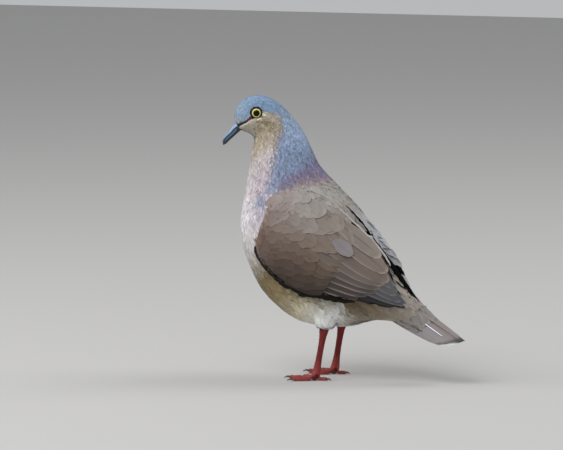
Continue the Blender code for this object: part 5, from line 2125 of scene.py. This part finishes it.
class Bill:
    """The bill's two halves, with the swelling over the nostril, its slit and the curved tip."""

    SLOPE = math.radians(43.0)
    ROOT = (64.3, 0.0, 174.3)
    # Each row is a section: how far out it is, its top, its bottom and its half width.
    UPPER = (
        (-2.6, 2.6, -1.3, 2.7), (0.0, 3.0, -1.25, 2.85), (1.5, 3.12, -1.2, 2.8),
        (3.2, 2.95, -1.2, 2.6), (5.0, 2.6, -1.2, 2.4), (6.4, 2.2, -1.2, 2.25),
        (8.0, 2.0, -1.2, 2.12), (10.0, 1.95, -1.22, 2.0), (12.0, 1.65, -1.4, 1.85),
        (13.4, 1.15, -1.7, 1.65), (14.6, 0.3, -2.05, 1.3), (15.5, -0.75, -2.3, 0.8),
        (16.0, -1.6, -2.4, 0.3),
    )
    LOWER = (
        (-2.6, -1.4, -2.9, 2.4), (0.3, -1.4, -2.95, 2.45), (3.0, -1.4, -2.85, 2.25),
        (7.0, -1.4, -2.8, 1.9), (10.0, -1.45, -2.75, 1.65), (12.2, -1.7, -2.75, 1.35),
        (13.8, -2.05, -2.8, 0.95), (14.7, -2.35, -2.8, 0.4),
    )
    STEPS = 72
    ROUND = 40
    HORN: Colour = (0.012, 0.024, 0.042)
    # Painted reflections of the sky on the dark horn: pale blue along the culmen and over the
    # nostril's swelling, and blue in a band low on the upper half.
    CULMEN_GLINT: Colour = (0.20, 0.32, 0.50)
    EDGE: Colour = (0.09, 0.19, 0.31)
    BELOW: Colour = (0.006, 0.008, 0.010)
    SLIT: Colour = (0.002, 0.002, 0.003)

    def _half(
        self, rings: tuple[tuple[float, ...], ...], upper: bool
    ) -> tuple[Array, Array, Array]:
        """The points, faces and colours of one half."""
        line = through(np.array(rings), np.linspace(0.0, len(rings) - 1.0, self.STEPS))
        along, top, bottom, half = (line[:, [column]] for column in range(4))
        angle = np.linspace(0.0, 2.0 * math.pi, self.ROUND, endpoint=False)[None]
        arch, flat = (1.0 if upper else -1.0) * np.cos(angle), np.sin(angle)
        round_ = np.clip(arch, 0.0, 1.0) ** 0.8
        deep = (top - bottom) * (round_ - 0.12 * np.clip(-arch, 0.0, 1.0))
        high = bottom + deep if upper else top - deep
        wide = half * np.sign(flat) * np.abs(flat) ** 0.85
        tone = np.broadcast_to(self.HORN, (*wide.shape, 3))
        if upper:
            swell = hump(2.9, 3.6, along) * hump(0.72, 0.5, round_) * np.abs(flat)
            slit = eased(2.9, 3.6, along) * eased(7.3, 6.5, along)
            slit = slit * hump(0.47, 0.11, round_ + 0.02 * (along - 3.5)) * (arch > 0.0)
            wide = wide + np.sign(flat) * (0.34 * swell - 0.75 * slit)
            # Painted reflections: pale blue down from the culmen over the swelling, and a blue band
            # low on the side.
            pale = eased(8.8, 5.5, along) * eased(0.52, 0.62, round_)
            pale = np.maximum(pale, 0.85 * eased(16.5, 11.0, along) * eased(0.62, 0.85, round_))
            low = hump(0.24, 0.20, round_) * (arch > 0.0)
            low = low * eased(1.0, 3.0, along) * eased(14.5, 11.0, along)
            tone = blended(blended(tone, self.EDGE, low), self.CULMEN_GLINT, pale)
            tone = blended(tone, self.SLIT, np.clip(slit * 2.2, 0.0, 1.0))
        else:
            tone = blended(tone, self.BELOW, eased(0.1, 0.5, round_))
        slope = (math.cos(self.SLOPE), math.sin(self.SLOPE))
        x = self.ROOT[0] + along * slope[0] + high * slope[1]
        z = self.ROOT[2] - along * slope[1] + high * slope[0]
        points = from_head(together(x, wide, z)).reshape(-1, 3)
        index = np.arange(self.STEPS * self.ROUND).reshape(self.STEPS, self.ROUND)
        round_on = np.roll(index, -1, axis=1)
        quads = together(index[:-1], index[1:], round_on[1:], round_on[:-1]).reshape(-1, 4)
        quads = np.concatenate([quads, self._cap(index[0])[:, ::-1], self._cap(index[-1])])
        return points, quads if upper else quads[:, ::-1], tone.reshape(-1, 3)

    @staticmethod
    def _cap(ring: Array) -> Array:
        """Closes a ring of an even number of points with strips across it."""
        last = len(ring) - 1
        rungs = range(len(ring) // 2 - 1)
        return np.array([[ring[i], ring[i + 1], ring[last - i - 1], ring[last - i]] for i in rungs])

    def build(self) -> None:
        """Makes both halves."""
        for name, rings, upper in (("upper", self.UPPER, True), ("lower", self.LOWER, False)):
            piece = mesh_from(f"bill_{name}_horn", *self._half(rings, upper))
            fitted(piece, "bill_horn", (BILL_HORN,), f"bill_{name}")


def build_eye(side: float) -> None:
    """One wet ball with a slight swelling over the iris."""
    ball = bmesh.new()
    bmesh.ops.create_uvsphere(ball, u_segments=48, v_segments=32, radius=EYE.radius)
    mesh = bpy.data.meshes.new("eye")
    ball.to_mesh(mesh)
    ball.free()
    local = np.array([tuple(vert.co) for vert in mesh.vertices])
    out = np.hypot(local[:, 0], local[:, 1])
    front = local[:, 2] > 0.0
    local[:, 2] += 0.22 * eased(3.4, 1.2, out) * front
    axis = EYE.axis(side)
    ahead = unit(np.cross((0.0, 0.0, 1.0), axis)) * side
    spots = EYE.middle(side) + local @ np.stack([ahead, np.cross(axis, ahead), axis])
    mesh.vertices.foreach_set("co", (spots * MM).astype(np.float32).ravel())
    ring = mesh.attributes.new("ring", "FLOAT", "POINT")
    ring.data.foreach_set("value", np.where(front, out / WET_EYE.reach, 1.0).astype(np.float32))
    mesh.shade_smooth()
    name = f"eye_{SIDE_NAMES[side]}"
    fitted(linked(f"{name}_ball", mesh), "eye", (WET_EYE,), name)


def build_claws() -> None:
    """Smooth dark claws over the solids' own."""
    for side, toe in product(SIDES, TOES):
        node = f"claw_{SIDE_NAMES[side]}_{toe.name}"
        form = Form([node], voxel=0.16, rounds=2)
        points = form.points.copy()
        points[:, 2] = np.maximum(points[:, 2], 0.0)
        piece = mesh_from(f"{node}_horn", points, form.quads, CLAW_TONE)
        fitted(piece, "claw_horn", (CLAW_HORN,), node)


# ---- stage


@dataclass(frozen=True)
class Lamp:
    """A soft rectangular light."""

    name: str
    place: Colour
    size: float
    power: float
    tint: Colour = (1.0, 1.0, 1.0)


class Stage:
    """Floor, light and camera."""

    LAMPS = (
        Lamp("sky_left", (0.5, 1.3, 1.9), 1.6, 34.0, (0.97, 0.985, 1.0)),
        Lamp("sky_front", (1.5, 0.6, 1.2), 1.0, 10.0, (1.0, 0.99, 0.97)),
        Lamp("sky_back", (-1.2, -1.0, 1.6), 1.2, 16.0),
    )
    AIM = (0.0479, 0.0014, 0.1058)
    DISTANCE = 3.28
    LENS = 299.6
    AZIMUTH = math.radians(22.0)
    HEIGHT = math.radians(6.0)
    FLOOR_HALF = 4.0  # metres
    FLOOR_TONE = (0.46, 0.45, 0.44, 1.0)
    SKY_TONE = (0.86, 0.88, 0.90, 1.0)
    SKY_POWER = 0.55

    def _floor(self) -> None:
        """A wide pale floor with its top at Z = 0."""
        sheet = bmesh.new()
        bmesh.ops.create_grid(sheet, x_segments=1, y_segments=1, size=self.FLOOR_HALF)
        mesh = bpy.data.meshes.new("floor")
        sheet.to_mesh(mesh)
        sheet.free()
        values = {"Base Color": self.FLOOR_TONE, "Roughness": 0.8}
        mesh.materials.append(Bench("floor").dress({}, values))
        linked("floor", mesh)

    def _lamp(self, lamp: Lamp) -> None:
        """One light that looks at the bird."""
        light = bpy.data.lights.new(lamp.name, "AREA")
        light.shape = "SQUARE"
        light.size = lamp.size
        light.energy = lamp.power
        light.color = lamp.tint
        item = linked(lamp.name, light)
        item.location = lamp.place
        away = Vector(lamp.place) - Vector(self.AIM)
        item.rotation_euler = away.to_track_quat("Z", "Y").to_euler()

    def build(self) -> None:
        """Sets the stage."""
        self._floor()
        for lamp in self.LAMPS:
            self._lamp(lamp)
        scene = bpy.context.scene
        world = bpy.data.worlds.new("sky")
        world.use_nodes = True
        backdrop = world.node_tree.nodes["Background"]
        backdrop.inputs["Color"].default_value = self.SKY_TONE
        backdrop.inputs["Strength"].default_value = self.SKY_POWER
        scene.world = world
        scene.view_settings.view_transform = "Standard"
        lens = bpy.data.cameras.new("camera")
        lens.lens = self.LENS
        lens.sensor_width = 36.0
        lens.clip_start = 0.05
        lens.clip_end = 50.0
        eye = linked("camera", lens)
        low, up = math.cos(self.HEIGHT), math.sin(self.HEIGHT)
        back = Vector((-math.sin(self.AZIMUTH) * low, math.cos(self.AZIMUTH) * low, up))
        eye.location = Vector(self.AIM) + back * self.DISTANCE
        eye.rotation_euler = back.to_track_quat("Z", "Y").to_euler()
        scene.camera = eye


def main() -> None:
    """Dresses the whole bird and sets the stage."""
    logging.basicConfig(level=logging.INFO, format="%(name)s %(message)s")
    for name in ("Cube", "Light", "Camera"):
        spare = bpy.data.objects.get(name)
        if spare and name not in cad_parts:
            bpy.data.objects.remove(spare)
    shells = [f"wing_{label}_{name}" for label in SIDE_NAMES.values() for name in FoldedWing.NODES]
    body = Form(FLESH, voxel=0.95, rounds=3)
    union = Form(FLESH + shells, voxel=0.95, rounds=4)
    spine = Spine()
    markings = Markings(spine)
    wings = [FoldedWing(side, union) for side in SIDES]
    Skin(body, spine, markings).build()
    BodyCoat(body, union, spine, markings).build()
    for wing in wings:
        wing.build()
    tail = Tail()
    tail.build()
    TailCoverts(union, spine, tail).build()
    Bill().build()
    for side in SIDES:
        build_eye(side)
    build_claws()
    Stage().build()


if __name__ == "__main__":
    main()
